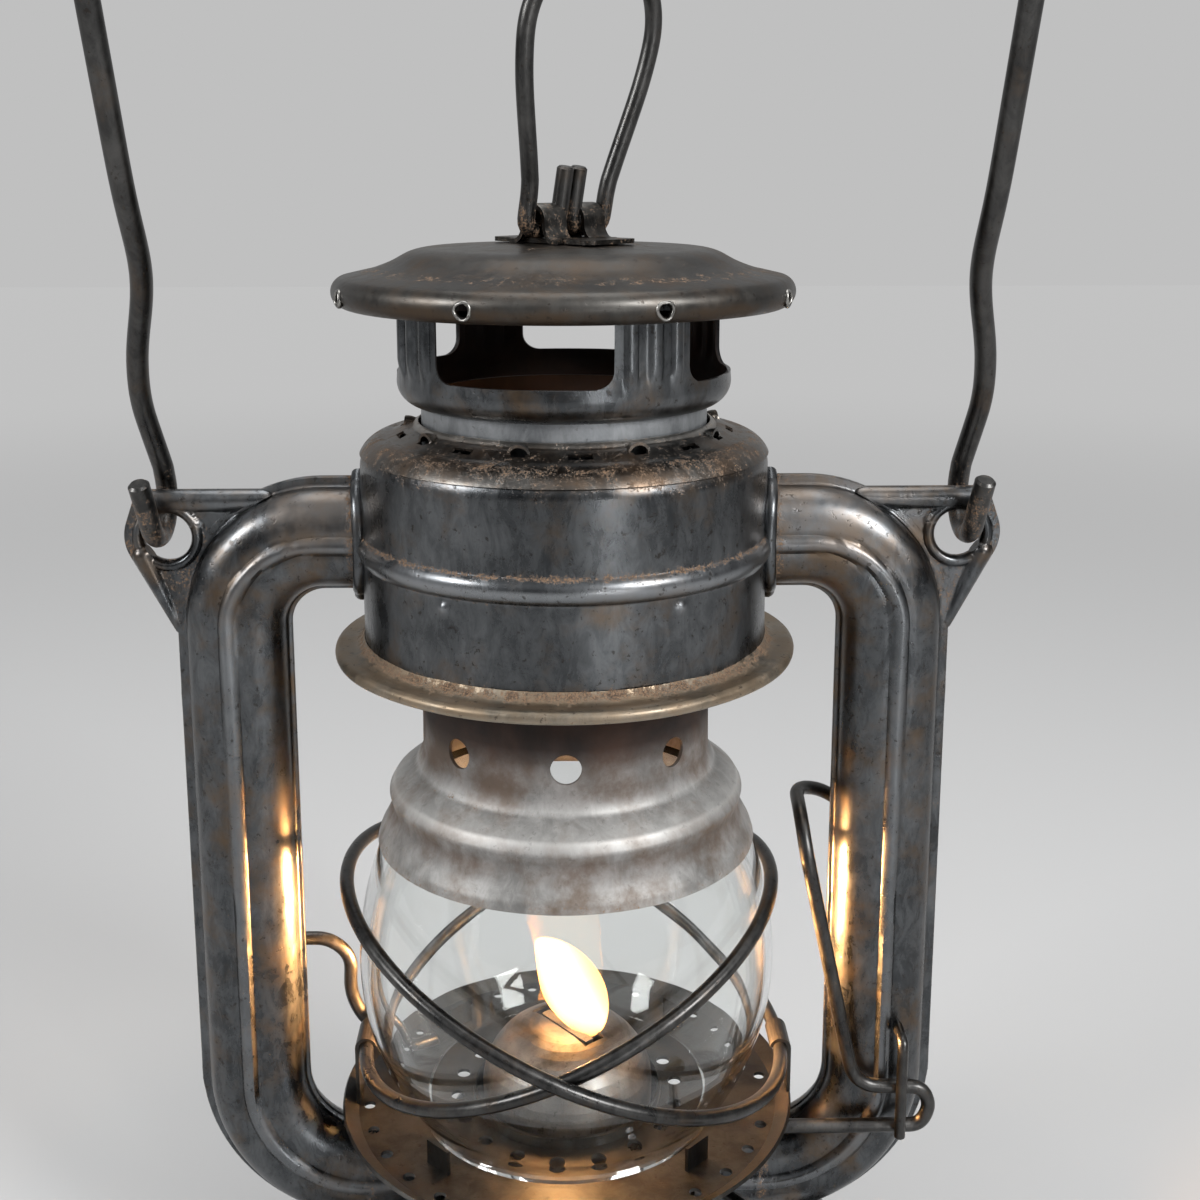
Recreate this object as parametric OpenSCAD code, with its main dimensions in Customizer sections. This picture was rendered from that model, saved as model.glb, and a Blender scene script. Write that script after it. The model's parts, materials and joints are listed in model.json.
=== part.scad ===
// Small cold-blast hurricane lantern: pressed sheet-metal frame, wire fittings and a glass globe.
// Units are millimetres. The base stands on z = 0, +Z is up and -Y is the front.

/* [Overall] */
// Width over the outer seams of the two air tubes
tube_span = 150; // [144:1:160]
// Thickness of the drawn and spun sheet metal
sheet = 0.7; // [0.6:0.1:0.9]
// Depth of the gap between pieces that are put together
fit = 0.3; // [0.2:0.05:0.4]

/* [Fount] */
// Diameter of the fount's wall
tank_d = 124; // [118:1:132]
// Height at which the fount's straight wall ends
tank_wall_h = 18; // [14:1:22]
// Radius of the fount's shoulder
tank_shoulder_r = 7; // [5:1:9]
// Height of the top of the fount's dome
tank_h = 33; // [31:0.5:34]
// Diameter of the rolled seam that the lantern stands on
base_seam_d = 3.2; // [2.6:0.2:4]
// Outer diameter of the filler neck
filler_d = 24; // [20:1:27]
// Height of the filler neck above its foot
filler_h = 8; // [7:0.5:9]
// Distance of the filler from the lantern's axis
filler_reach = 42; // [40:1:44]
// Direction of the filler, seen from above
filler_angle = 225; // [215:1:235]
// Height of the filler cap
cap_h = 9; // [7:0.5:11]

/* [Air tubes] */
// Width of a tube from seam edge to seam edge
tube_w = 23.2; // [21:0.2:25]
// Depth of a tube, front to back
tube_depth = 15; // [13:0.5:16]
// Width of the flat seam flange on each edge of a tube
seam_w = 2; // [1.5:0.1:2.4]
// Width of the narrower seam on a tube's inner edge
inner_seam_w = 1; // [0.8:0.1:1.6]
// Height of the upper arms' centre line
upper_arm_z = 182; // [180:0.5:183]
// Height of the lower arms' centre line
lower_arm_z = 45.9; // [45.5:0.1:46.5]
// Inner radius of the upper elbows
upper_elbow_r = 5.6; // [5:0.2:8]
// Inner radius of the lower elbows
lower_elbow_r = 12; // [10:0.5:13]
// Width of the bead pressed along the front of each tube
rib_w = 2.2; // [1.6:0.2:3]

/* [Bail ears] */
// Distance between the centres of the two ear holes
ear_span = 152; // [151:0.5:154]
// Height of the ear holes
ear_z = 181.9; // [181:0.1:182.5]
// Diameter of the ear holes
ear_hole_d = 9.2; // [9:0.1:9.6]
// Diameter of the ear's round tip
ear_tip_d = 16.6; // [15.6:0.2:18]
// Diameter of the rolled bar on the ear's edges
ear_bar_d = 3.9; // [3.2:0.1:4.2]

/* [Air drum] */
// Diameter of the air drum
drum_d = 77.2; // [74:0.4:79]
// Height of the drum's top plate at its rim
drum_top_z = 201.5; // [200:0.5:203]
// Height of the drum's pressed bead
drum_bead_z = 181; // [178:0.5:184]
// Height of the bead, top to bottom
drum_bead_h = 3.8; // [3:0.1:4.2]
// How far the bead stands out from the drum
drum_bead_out = 1; // [0.7:0.05:1]
// Radius of the drum's upper shoulder
drum_shoulder_r = 5; // [4:0.2:6]
// Height of the drum's lower edge
drum_bottom_z = 162; // [161:0.5:163.5]
// Diameter over the rolled edge of the skirt
skirt_d = 88.6; // [86:0.4:92]
// Rise of the top plate from the drum's shoulder to its lip
drum_lip_h = 2.4; // [2:0.1:3]
// Radius of the raised louvres in the top plate
louvre_r = 2.1; // [1.8:0.1:2.6]
// Number of raised louvres in the top plate, with a slit between each two
louvres = 9; // [7:1:11]

/* [Chimney] */
// Diameter of the sliding neck
neck_d = 54; // [52:0.5:54.6]
// Diameter of the bell's tube
bell_tube_d = 56.1; // [55.6:0.1:57]
// Gap between the globe's upper edge and the bell's shoulder
bell_gap = 1.5; // [1.2:0.1:2]
// Flare of the bell from its shoulder to its flange
bell_flare = 3; // [2.6:0.1:4]
// Height of the bell's shoulder
bell_shoulder_z = 132; // [131.5:0.1:133]
// Height of the bell's lower edge
bell_edge_z = 121.7; // [121:0.1:122.5]
// Radius of the fillet between the bell's tube and its shoulder
bell_fillet_r = 3; // [1.6:0.2:4]
// Diameter of the round holes in the bell's tube
bell_hole_d = 5.7; // [4.6:0.1:6.5]
// Number of round holes in the bell's tube
bell_holes = 8; // [6:1:10]

/* [Hood] */
// Diameter of the canopy drum below the hood
canopy_d = 62.6; // [61:0.2:65]
// Height of the canopy's lower end
canopy_bottom_z = 207.8; // [207:0.2:209]
// Height of the lower edge of the windows
window_z = 214.2; // [213.4:0.2:216]
// Width of each window
window_w = 32; // [28:0.5:34]
// Direction of the first window, seen from the front
window_turn = -15; // [-25:1:25]
// Diameter over the hood's rolled rim
hood_d = 86.1; // [82:0.5:90]
// Height of the rim's widest line
hood_rim_z = 229; // [228:0.5:230]
// Radius of the rolled rim
hood_roll_r = 2.85; // [2.2:0.05:3.2]
// Diameter of the flutes between the windows
flute_d = 2.4; // [1.4:0.1:2.6]
// Angle between two flutes
flute_step = 8.5; // [7:0.5:10]
// Overhang of the hood's flat crown beyond the canopy drum
crown_over = 2.3; // [2:0.1:3]
// Height of the crown at its middle
crown_z = 237.6; // [237:0.2:238.4]
// Diameter of the eight small holes in the rim
rim_hole_d = 2.4; // [2:0.1:2.8]

/* [Lift ring] */
// Diameter of the ring's wire
ring_wire_d = 3.2; // [2.6:0.1:3.4]
// Distance between the ring's legs at the bracket
ring_foot_w = 20; // [18:0.5:22]
// Greatest width of the ring
ring_w = 36; // [32:1:40]
// Height of the ring above its pivot
ring_h = 53; // [48:1:56]
// Play of the ring's wire in the bracket's curl
ring_play = 0.9; // [0.3:0.1:1.2]
// Length of the bracket's foot
bracket_l = 26; // [24:0.5:28]
// Width of the bracket's foot
bracket_w = 13; // [12:0.5:15]
// Direction of the ring's pivot, seen from above
ring_turn = 45; // [40:1:50]
// Lean of the ring towards the front right, as it stands at rest
ring_lean = 12; // [0:1:20]

/* [Globe] */
// Greatest diameter of the globe
globe_d = 83.2; // [81:0.2:83.4]
// Height of the greatest diameter
globe_belly_z = 96; // [95:0.5:97]
// How far the globe draws in from its widest line to its upper edge
globe_mouth_in = 8.8; // [8:0.1:10]
// How far the globe draws in from its widest line to its foot
globe_foot_in = 11; // [10:0.1:12]
// Height of the globe's glass
globe_h = 66; // [65:0.2:66.4]
// Thickness of the glass
glass = 2; // [1.5:0.1:2.5]

/* [Globe carrier] */
// Height of the underside of the globe plate
plate_z = 62.45; // [62.2:0.05:62.8]
// Diameter of the globe plate
plate_d = 92; // [91:0.5:93]
// Diameter of the guard's wire
guard_wire_d = 2.8; // [2.4:0.1:2.9]
// Slope of the two guard rings
guard_tilt = 24.6; // [22:0.2:26]
// Distance from the globe's widest line to the centre of the inner guard wire
guard_gap = 3.4; // [3:0.1:4]
// Diameter of the handle's wire
handle_wire_d = 2.8; // [2.4:0.1:3]
// Height of the handle's hook round the tube
handle_top_z = 127; // [120:1:130]
// Height that the carrier rises for lighting
carrier_lift = 8; // [6:0.5:9]

/* [Bail] */
// Diameter of the bail's wire
bail_wire_d = 4; // [3.6:0.1:4.1]
// Distance between the bail's straight legs
bail_w = 146.8; // [144:0.4:150]
// Height of the bail above its pivot
bail_h = 150; // [140:1:160]
// Radius of the bail's upper corners
bail_corner_r = 36; // [30:1:42]
// Lean of the bail towards the front, as it stands at rest
bail_lean = 24; // [0:1:30]

/* [Burner] */
// Diameter of the burner's threaded foot
burner_foot_d = 30; // [28:0.5:32]
// Diameter of the burner's cap
cap_d = 35.2; // [34:0.2:36]
// Height of the burner cap's top
burner_top_z = 79; // [78:0.5:80]
// Width of the wick
wick_w = 14; // [12:0.5:15]
// Thickness of the wick
wick_t = 2; // [1.6:0.1:2.2]
// Height of the wick's trimmed edge
wick_top_z = 78; // [77:0.5:79]
// Direction of the wick shaft, seen from above
shaft_angle = -50; // [-60:1:-42]
// Diameter of the wick shaft
shaft_d = 2.2; // [1.8:0.1:2.4]
// Height of the wick shaft
shaft_z = 60; // [59.8:0.1:60.2]
// Distance from the lantern's axis to the knob's outer face
knob_reach = 72; // [68:1:76]
// Diameter of the wick knob
knob_d = 14; // [12:0.5:16]

/* [Hidden] */
$fn = 96;

// Values worked out from the sizes above
seam_t = 0.6;
tube_x = (tube_span - tube_w) / 2;
upper_bend_r = upper_elbow_r + tube_w / 2;
lower_bend_r = lower_elbow_r + tube_w / 2;
drum_r = drum_d / 2;
chamber_r = 26;
chamber_top_z = lower_arm_z + tube_w / 2;
drum_bead_r = (pow(drum_bead_h / 2, 2) + pow(drum_bead_out, 2)) / (2 * drum_bead_out);
drum_bead_x = drum_r + drum_bead_out - drum_bead_r;
ear_bar_z = ear_z + 7;
bail_turn_r = ear_bar_z - ear_z;
bail_foot = ear_span + 3.2;
bail_stub_h = 16;
skirt_roll_r = 1.2;
skirt_z = drum_bottom_z - 1.4;
neck_bottom_z = 166;
bell_top_z = 172;
neck_hole_r = neck_d / 2 + 0.5;
crown_edge_z = crown_z - 1.5;
crown_d = canopy_d + 2 * crown_over;
hood_roll_x = hood_d / 2 - hood_roll_r;
globe_z = plate_z + sheet + 0.05;
plate_hole_r = cap_d / 2 + 1.4;
guard_z = globe_belly_z - 1.6;
globe_mouth_d = globe_d - 2 * globe_mouth_in;
globe_foot_d = globe_d - 2 * globe_foot_in;
bell_shoulder_d = globe_mouth_d + 2 * bell_gap;
bell_flange_d = bell_shoulder_d + 2 * bell_flare;
guard_inner_d = globe_d + 2 * guard_gap;
guard_outer_d = guard_inner_d + 2 * guard_wire_d + 0.2;
pivot_z = crown_z + 0.9 + ring_wire_d / 2 + 0.1;
gallery_r = cap_d / 2 - sheet - 0.15;
shaft_side = wick_t / 2 + 3.2;
handle_y = -(tube_depth / 2 + handle_wire_d / 2 + 1.3);
handle_low_z = plate_z - handle_wire_d / 2 - 0.02;
handle_rise = 9;
tin = [0.33, 0.35, 0.37];
zinc = [0.62, 0.62, 0.60];
dark_wire = [0.20, 0.20, 0.21];

// Points of an arc about c, from angle a to angle b
function arc(c, r, a, b, n = 8) = [for (i = [0:n]) let (t = a + (b - a) * i / n) c + r * [cos(t), sin(t)]];
function unit(v) = v / norm(v);
function left_of(v) = [-v[1], v[0]];

// Sideways step at point i of an outline, long enough to keep a sheet's thickness even round a corner
function miter(p, i) =
    i == 0 ? left_of(unit(p[1] - p[0])) :
    i == len(p) - 1 ? left_of(unit(p[i] - p[i - 1])) :
    let (a = left_of(unit(p[i] - p[i - 1])), b = left_of(unit(p[i + 1] - p[i])), m = unit(a + b)) m / (m * a);

// Closed outline of a sheet of thickness t whose outer skin follows the points p
function skin(p, t) = concat(p, [for (i = [len(p) - 1:-1:0]) p[i] + miter(p, i) * t]);

// Spun or drawn sheet: the points run with the metal on their left
module spun(p, t = sheet) {
    rotate_extrude() polygon(skin(p, t));
}

// Corners of a wire's path, each softened by a curve that starts reach before it
function softened(p, reach, n = 6) = concat([p[0]], [for (i = [1:len(p) - 2])
    let (d = min(reach, norm(p[i] - p[i - 1]) * 0.49, norm(p[i + 1] - p[i]) * 0.49),
        a = p[i] + unit(p[i - 1] - p[i]) * d, b = p[i] + unit(p[i + 1] - p[i]) * d)
    for (k = [0:n]) let (u = k / n) a * (1 - u) * (1 - u) + p[i] * 2 * u * (1 - u) + b * u * u],
    [p[len(p) - 1]]);

function tangent(p, i) = unit(p[min(i + 1, len(p) - 1)] - p[max(i - 1, 0)]);
function across(n, t) = unit(n - (n * t) * t);
function side_of(t) = across(abs(t[2]) < 0.8 ? [0, 0, 1] : [1, 0, 0], t);

// Directions across the path, carried along it without twist
function sides(p) = [for (i = 0, n = side_of(tangent(p, 0)); i < len(p);
    i = i + 1, n = across(n, tangent(p, min(i, len(p) - 1)))) n];

// Round wire of diameter d along the points p
module wire(p, d, facets = 8) {
    s = sides(p);
    ring = [for (i = [0:len(p) - 1]) let (t = tangent(p, i), b = cross(t, s[i])) for (k = [0:facets - 1])
        p[i] + d / 2 * (s[i] * cos(360 * k / facets) + b * sin(360 * k / facets))];
    n = len(p);
    walls = [for (i = [0:n - 2], k = [0:facets - 1]) let (j = (k + 1) % facets)
        [i * facets + k, i * facets + j, (i + 1) * facets + j, (i + 1) * facets + k]];
    split = [for (w = walls) each [[w[0], w[3], w[1]], [w[1], w[3], w[2]]]];
    ends = [[for (k = [0:facets - 1]) k], [for (k = [facets - 1:-1:0]) (n - 1) * facets + k]];
    polyhedron(ring, concat(split, ends));
}

// Repeats a piece n times round the axis
module around(n, first = 0) {
    for (k = [0:n - 1]) rotate(first + 360 * k / n) children();
}

// Fount
function tank_skin() = concat([[tank_d / 2, base_seam_d - 0.15]],
    arc([tank_d / 2 - tank_shoulder_r, tank_wall_h], tank_shoulder_r, 0, 68, 8),
    [[chamber_r + 3, tank_h], [13, tank_h]]);
function dome_z(r) = let (a = tank_skin()[9], b = tank_skin()[10])
    a[1] + (b[1] - a[1]) * (a[0] - r) / (a[0] - b[0]);

module filler_place() {
    rotate(filler_angle) translate([filler_reach, 0, 0]) children();
}

module tank_shell() {
    color(tin) difference() {
        spun(tank_skin());
        filler_place() cylinder(d = filler_d - 2, h = tank_h + 5);
    }
}

// Bottom plate, with the rolled seam that is worn flat where the lantern stands on it
module tank_bottom() {
    seam_r = base_seam_d / 2;
    worn = 0.2;
    color(tin) union() {
        rotate_extrude() intersection() {
            translate([tank_d / 2 - 0.4, seam_r - worn]) circle(r = seam_r, $fn = 32);
            translate([tank_d / 2 - 4, 0]) square([8, base_seam_d]);
        }
        spun([[0, 3.4], [tank_d / 2 - 8, 3.4], [tank_d / 2 - 6, 2.2], [tank_d / 2 - 1.6, 1.4]], -sheet);
    }
}

module filler_neck() {
    foot = dome_z(filler_reach - filler_d / 2);
    color(tin) filler_place() difference() {
        translate([0, 0, foot - filler_h]) cylinder(d = filler_d, h = 2 * filler_h);
        translate([0, 0, foot - filler_h - 1]) cylinder(d = filler_d - 2, h = 2 * filler_h + 4);
        rotate(-filler_angle) translate(-filler_reach * [cos(filler_angle), sin(filler_angle), 0])
            rotate_extrude() polygon(concat([[0, -2]], [for (p = tank_skin()) [p[0] + fit / 10, p[1]]],
                [[0, tank_h]]));
    }
}

module filler_cap() {
    foot = dome_z(filler_reach - filler_d / 2) + 2.6;
    r = filler_d / 2 + 0.2;
    color(tin) filler_place() translate([0, 0, foot]) union() {
        spun(concat([[r + 0.9, 0], [r + 0.9, cap_h - 2.4]], arc([r - 1.1, cap_h - 2.4], 2, 10, 90, 5),
            [[r - 4, cap_h - 0.4], [r - 5, cap_h - 1.2], [0, cap_h - 1.2]]), 0.8);
        around(20) translate([r + 0.9, 0, 0.6]) cylinder(r = 0.7, h = cap_h - 3.4, $fn = 16);
    }
}

module cap_gasket() {
    foot = dome_z(filler_reach - filler_d / 2);
    color([0.35, 0.25, 0.18]) filler_place() translate([0, 0, foot + filler_h]) difference() {
        cylinder(d = filler_d - 0.4, h = 1.4);
        translate([0, 0, -1]) cylinder(d = filler_d - 6, h = 4);
    }
}

module tank_collar() {
    color(tin) translate([0, 0, tank_h]) difference() {
        cylinder(d = burner_foot_d, h = 3);
        translate([0, 0, -1]) cylinder(d = burner_foot_d - 4, h = 5);
    }
}

// Chamber on the fount, where the two tubes bring the fresh air down
module lower_air_chamber() {
    color(tin) difference() {
        spun(concat([[chamber_r + 2.6, tank_h + sheet + 0.02], [chamber_r, tank_h + sheet + 0.02]],
            arc([chamber_r - 3, chamber_top_z - 3.6], 3, 0, 90, 6),
            [[gallery_r + 1.4, chamber_top_z - 0.6]]));
        for (s = [-1, 1]) translate([s * chamber_r, 0, lower_arm_z]) rotate([90, 0, 90])
            linear_extrude(8, center = true) tube_outline(-0.4);
    }
}

// Air tubes: each is a front and a rear pressing, joined at flat seams on both edges
tube_a = tube_w / 2 - seam_w;
tube_b = tube_depth / 2;
function oval(a, b, sweep = 180, n = 18) = [for (i = [0:n]) let (t = sweep * i / n, c = cos(t), s = sin(t))
    [a * sign(c) * pow(abs(c), 0.77), b * sign(s) * pow(abs(s), 0.77)]];

// Whole outline of a tube, with x from front to back and y across it, larger by grow
module tube_outline(grow = 0) {
    rotate(90) polygon(oval(tube_a + grow, tube_b + grow, 350, 35));
}

// Section of one pressing: x across the tube towards its outer edge, y outwards from the seam
module half_section() {
    outer = oval(tube_a, tube_b);
    inner = oval(tube_a - sheet, tube_b - sheet);
    polygon(concat(outer, [for (i = [len(inner) - 1:-1:0]) inner[i]]));
    translate([tube_a - 0.4, 0]) square([seam_w + 0.4, seam_t]);
    translate([-tube_a - inner_seam_w, 0]) square([inner_seam_w + 0.4, seam_t]);
}

// Straight run of the section that is given to it
module run(length) {
    linear_extrude(length) children();
}

module rib_section() {
    translate([0, tube_b - 0.5]) circle(d = rib_w, $fn = 16);
}

// One pressing in the plane of the tube, for the right side, with y towards the viewer
module pressing() {
    upper = [tube_x - upper_bend_r, upper_arm_z - upper_bend_r];
    lower = [tube_x - lower_bend_r, lower_arm_z + lower_bend_r];
    // Upright
    translate([tube_x, lower[1], 0]) rotate([-90, 0, 0]) mirror([0, 1])
        run(upper[1] - lower[1]) half_section();
    // Upper elbow and arm
    translate([upper[0], upper[1], 0]) rotate_extrude(angle = 90) translate([upper_bend_r, 0]) half_section();
    arm_x = drum_r + 0.5;
    translate([arm_x, upper_arm_z, 0]) rotate([90, 0, 90]) run(upper[0] - arm_x) half_section();
    // Lower elbow and arm
    translate([lower[0], lower[1], 0]) rotate([0, 0, -90]) rotate_extrude(angle = 90)
        translate([lower_bend_r, 0]) half_section();
    foot_x = chamber_r + 0.1;
    translate([foot_x, lower_arm_z, 0]) rotate([90, 0, 90])
        run(lower[0] - foot_x) mirror([1, 0]) half_section();
}

// Bead along the front of a pressing, turned in a tighter curve at the top
module rib() {
    bend = upper_bend_r - 5.1;
    top = [tube_x - bend, upper_arm_z - 1 - bend];
    low = [tube_x - lower_bend_r, lower_arm_z + lower_bend_r];
    translate([tube_x, low[1], 0]) rotate([-90, 0, 0]) mirror([0, 1]) run(top[1] - low[1]) rib_section();
    translate([top[0], top[1], 0]) rotate_extrude(angle = 90) translate([bend, 0]) rib_section();
    translate([drum_r + 3.4, top[1] + bend, 0]) rotate([90, 0, 90]) run(top[0] - drum_r - 3.4) rib_section();
    translate([low[0], low[1], 0]) rotate([0, 0, -90]) rotate_extrude(angle = 90)
        translate([lower_bend_r, 0]) rib_section();
}

// Ear plate outline, round the bail's hole and down to the tube's seam
module ear_outline() {
    centre = [tube_x - upper_bend_r, upper_arm_z - upper_bend_r];
    reach = upper_bend_r + tube_a - sheet / 2;
    difference() {
        hull() {
            translate([ear_span / 2, ear_z]) circle(d = ear_tip_d, $fn = 48);
            translate([tube_x - 2, ear_bar_z - 0.3]) circle(d = 3, $fn = 24);
            translate([tube_span / 2 - 3, ear_z - 15]) circle(d = 3, $fn = 24);
        }
        translate(centre) circle(r = reach);
        translate([centre[0], 0]) square([reach, centre[1]]);
    }
}

// Front half of a rolled bar on the ear's edge, from a to b in the plane of the seam
module ear_bar(a, b) {
    length = norm(b - a);
    translate([a[0], a[1], 0]) rotate([0, 0, atan2(b[1] - a[1], b[0] - a[0])]) rotate([90, 0, 90])
        linear_extrude(length) intersection() {
            circle(d = ear_bar_d, $fn = 32);
            translate([-ear_bar_d, 0]) square(2 * ear_bar_d);
        }
}

module half_ear() {
    tip = [ear_span / 2, ear_z];
    centre = [tube_x - upper_bend_r, upper_arm_z - upper_bend_r];
    reach = upper_bend_r + tube_a - sheet / 2;
    bar_x = centre[0] + sqrt(pow(reach, 2) - pow(ear_bar_z - centre[1], 2));
    low = tip + (ear_tip_d - ear_bar_d) / 2 * [cos(-40), sin(-40)];
    difference() {
        union() {
            linear_extrude(seam_t) ear_outline();
            translate([tip[0], tip[1], 0]) cylinder(d = ear_hole_d + 4.4, h = 1.5);
            ear_bar([bar_x, ear_bar_z], [ear_span / 2 + 4.6, ear_bar_z]);
            ear_bar(low, [tube_span / 2 - 0.3, ear_z - 15.6]);
        }
        translate([tip[0], tip[1], -1]) cylinder(d = ear_hole_d, h = 10, $fn = 64);
    }
}

module tube_half(side, face) {
    color(tin) mirror([side < 0 ? 1 : 0, 0, 0]) mirror([0, face > 0 ? 1 : 0, 0]) rotate([90, 0, 0]) union() {
        pressing();
        rib();
        half_ear();
    }
}

module tube_left_front() { tube_half(-1, -1); }
module tube_left_rear() { tube_half(-1, 1); }
module tube_right_front() { tube_half(1, -1); }
module tube_right_rear() { tube_half(1, 1); }

// Thin ring where a tube enters the drum
module tube_collar(side) {
    color(tin) difference() {
        translate([side * (drum_r + 0.9), 0, upper_arm_z]) rotate([90, 0, 90])
            linear_extrude(2.4, center = true) difference() {
                collar_outline(1.2);
                collar_outline(0.05);
            }
        translate([0, 0, upper_arm_z - 30]) cylinder(r = drum_r + 0.02, h = 60);
        rotate_extrude() translate([drum_bead_x, drum_bead_z]) circle(r = drum_bead_r + 0.03, $fn = 32);
    }
}

// Outline of a tube with its two flanges, grown by grow
module collar_outline(grow) {
    tube_outline(grow);
    square([seam_t * 2 + 2 * grow, tube_w + 2 * grow], center = true);
}

module tube_collar_left() { tube_collar(-1); }
module tube_collar_right() { tube_collar(1); }

// Air drum
module air_drum() {
    bead_turn = asin(drum_bead_h / 2 / drum_bead_r);
    shoulder_x = drum_r - drum_shoulder_r;
    shoulder_z = drum_top_z - drum_shoulder_r;
    color(tin) difference() {
        spun(concat([[drum_r, drum_bottom_z]],
            arc([drum_bead_x, drum_bead_z], drum_bead_r, -bead_turn, bead_turn, 8),
            arc([shoulder_x, shoulder_z], drum_shoulder_r, 0, 90, 8)));
        for (s = [-1, 1]) translate([s * drum_r, 0, upper_arm_z]) rotate([90, 0, 90])
            linear_extrude(10, center = true) tube_outline(-0.4);
    }
}

// Louvred plate that closes the drum and guides the neck
module drum_top() {
    inner_z = drum_top_z + drum_lip_h;
    color(tin) difference() {
        union() {
            spun([[drum_r - drum_shoulder_r - 0.15, drum_top_z], [drum_r - drum_shoulder_r - 1.4, drum_top_z],
                [neck_hole_r + 0.6, inner_z], [neck_hole_r, inner_z - 1.4]]);
            around(louvres, -65) translate([neck_hole_r + 1.2, 0, inner_z - 0.6]) louvre(louvre_r);
        }
        around(louvres, -65) translate([neck_hole_r + 2, 0, inner_z - 0.6]) louvre(louvre_r - 0.6);
        around(louvres, -65 + 180 / louvres) translate([neck_hole_r + 3.4, 0, inner_z])
            rotate([0, 8, 0]) cube([1.1, 4.4, 8], center = true);
    }
}

// Half-round lanced tongue, open outwards
module louvre(r) {
    rotate([0, 96, 0]) cylinder(r = r, h = 3, $fn = 24);
}

module drum_floor() {
    color(tin) spun([[drum_r - sheet - 0.05, drum_bottom_z + 3], [drum_r - sheet - 0.05, drum_bottom_z + 0.6],
        [bell_tube_d / 2 + 1.6, drum_bottom_z + 0.6], [bell_tube_d / 2 + 1, drum_bottom_z + 1.8]], -sheet);
}

module skirt() {
    roll_x = skirt_d / 2 - skirt_roll_r;
    color(tin) union() {
        spun(concat([[drum_r + 0.02, drum_bottom_z + 1.5], [drum_r + 0.5, drum_bottom_z + 0.3]],
            [[drum_r + 1.6, drum_bottom_z - 0.4], [roll_x, skirt_z + skirt_roll_r]]), sheet);
        rotate_extrude() translate([roll_x, skirt_z]) circle(r = skirt_roll_r, $fn = 24);
        spun([[drum_r - sheet, drum_bottom_z - 0.02], [drum_r + 3, drum_bottom_z - 0.02]], -0.6);
    }
}

// Bent wire finger on the right tube: the two runs of the lift handle slide up and down behind it
module guide_strap() {
    x = tube_x + 3.2;
    d = 2.2;
    front = handle_y - handle_wire_d / 2 - d / 2 - 0.3;
    high = handle_low_z + handle_rise + carrier_lift + handle_wire_d / 2 + d / 2 + 0.6;
    color(dark_wire) difference() {
        wire(softened([[x, 1 - tube_b, high], [x, front, high], [x, front, handle_low_z - 1]], 2), d);
        translate([tube_x, 0, high - 5]) linear_extrude(10) rotate(90) tube_outline(0.02);
    }
}

// Chimney: neck and canopy above the drum, bell below it
module neck() {
    color(zinc) spun([[neck_d / 2, neck_bottom_z], [neck_d / 2, canopy_bottom_z + 1.5]]);
}

module bell() {
    tube_r = bell_tube_d / 2;
    shoulder_r = bell_shoulder_d / 2;
    base_z = bell_shoulder_z + 4;
    color(zinc) difference() {
        spun(concat([[bell_flange_d / 2, bell_edge_z], [shoulder_r + 1, bell_edge_z + 4.4],
            [shoulder_r, bell_shoulder_z - 0.8]],
            arc([shoulder_r - 1.4, bell_shoulder_z - 0.8], 1.4, 20, 70, 3),
            arc([tube_r + bell_fillet_r, base_z + bell_fillet_r - 0.4], bell_fillet_r, 250, 180, 6),
            [[tube_r, bell_top_z]]));
        around(bell_holes, -90) translate([0, 0, bell_edge_z + 23.4]) rotate([0, 90, 0])
            cylinder(d = bell_hole_d, h = tube_r + 5, $fn = 32);
    }
}

module window() {
    corner = 3;
    top = hood_rim_z + 1 - window_z;
    rotate([90, 0, 90]) linear_extrude(canopy_d / 2 + 5) union() {
        translate([-window_w / 2 + corner, 0]) square([window_w - 2 * corner, top]);
        translate([-window_w / 2, corner]) square([window_w, top - corner]);
        for (s = [-1, 1]) translate([s * (window_w / 2 - corner), corner]) circle(r = corner, $fn = 32);
    }
}

module canopy() {
    r = canopy_d / 2;
    round_r = min(4.2, r - neck_d / 2 - 0.1);
    color(tin) difference() {
        union() {
            spun(concat([[neck_d / 2 + 0.02, canopy_bottom_z]],
                arc([r - round_r, canopy_bottom_z + round_r], round_r, -90, 0, 8),
                [[r, crown_edge_z - 0.9]]));
            around(4, window_turn - 45) for (k = [-1:1]) rotate(k * flute_step)
                translate([r - 0.2, 0, window_z + 0.6])
                    cylinder(r = flute_d / 2, h = crown_edge_z - 4 - window_z, $fn = 16);
        }
        around(4, window_turn - 90) translate([0, 0, window_z]) window();
    }
}

module hood() {
    roll_end = 215;
    slope_a = [crown_d / 2, crown_edge_z];
    color(tin) difference() {
        union() {
            spun(concat(arc([hood_roll_x, hood_rim_z], hood_roll_r, 62 - roll_end, 62, 16),
                [slope_a + [4.2, -3.3], slope_a + [1.6, -0.9], slope_a],
                [[crown_d / 4, crown_z - 0.4], [5, crown_z], [0, crown_z]]));
            around(8, 22.5) translate([hood_roll_x + hood_roll_r - 0.5, 0, hood_rim_z - 0.6])
                rotate([0, 90, 0]) cylinder(d = rim_hole_d + 1.2, h = 0.9, $fn = 24);
        }
        around(8, 22.5) translate([hood_roll_x, 0, hood_rim_z - 0.6]) rotate([0, 90, 0])
            cylinder(d = rim_hole_d, h = 6, $fn = 24);
    }
}

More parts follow.
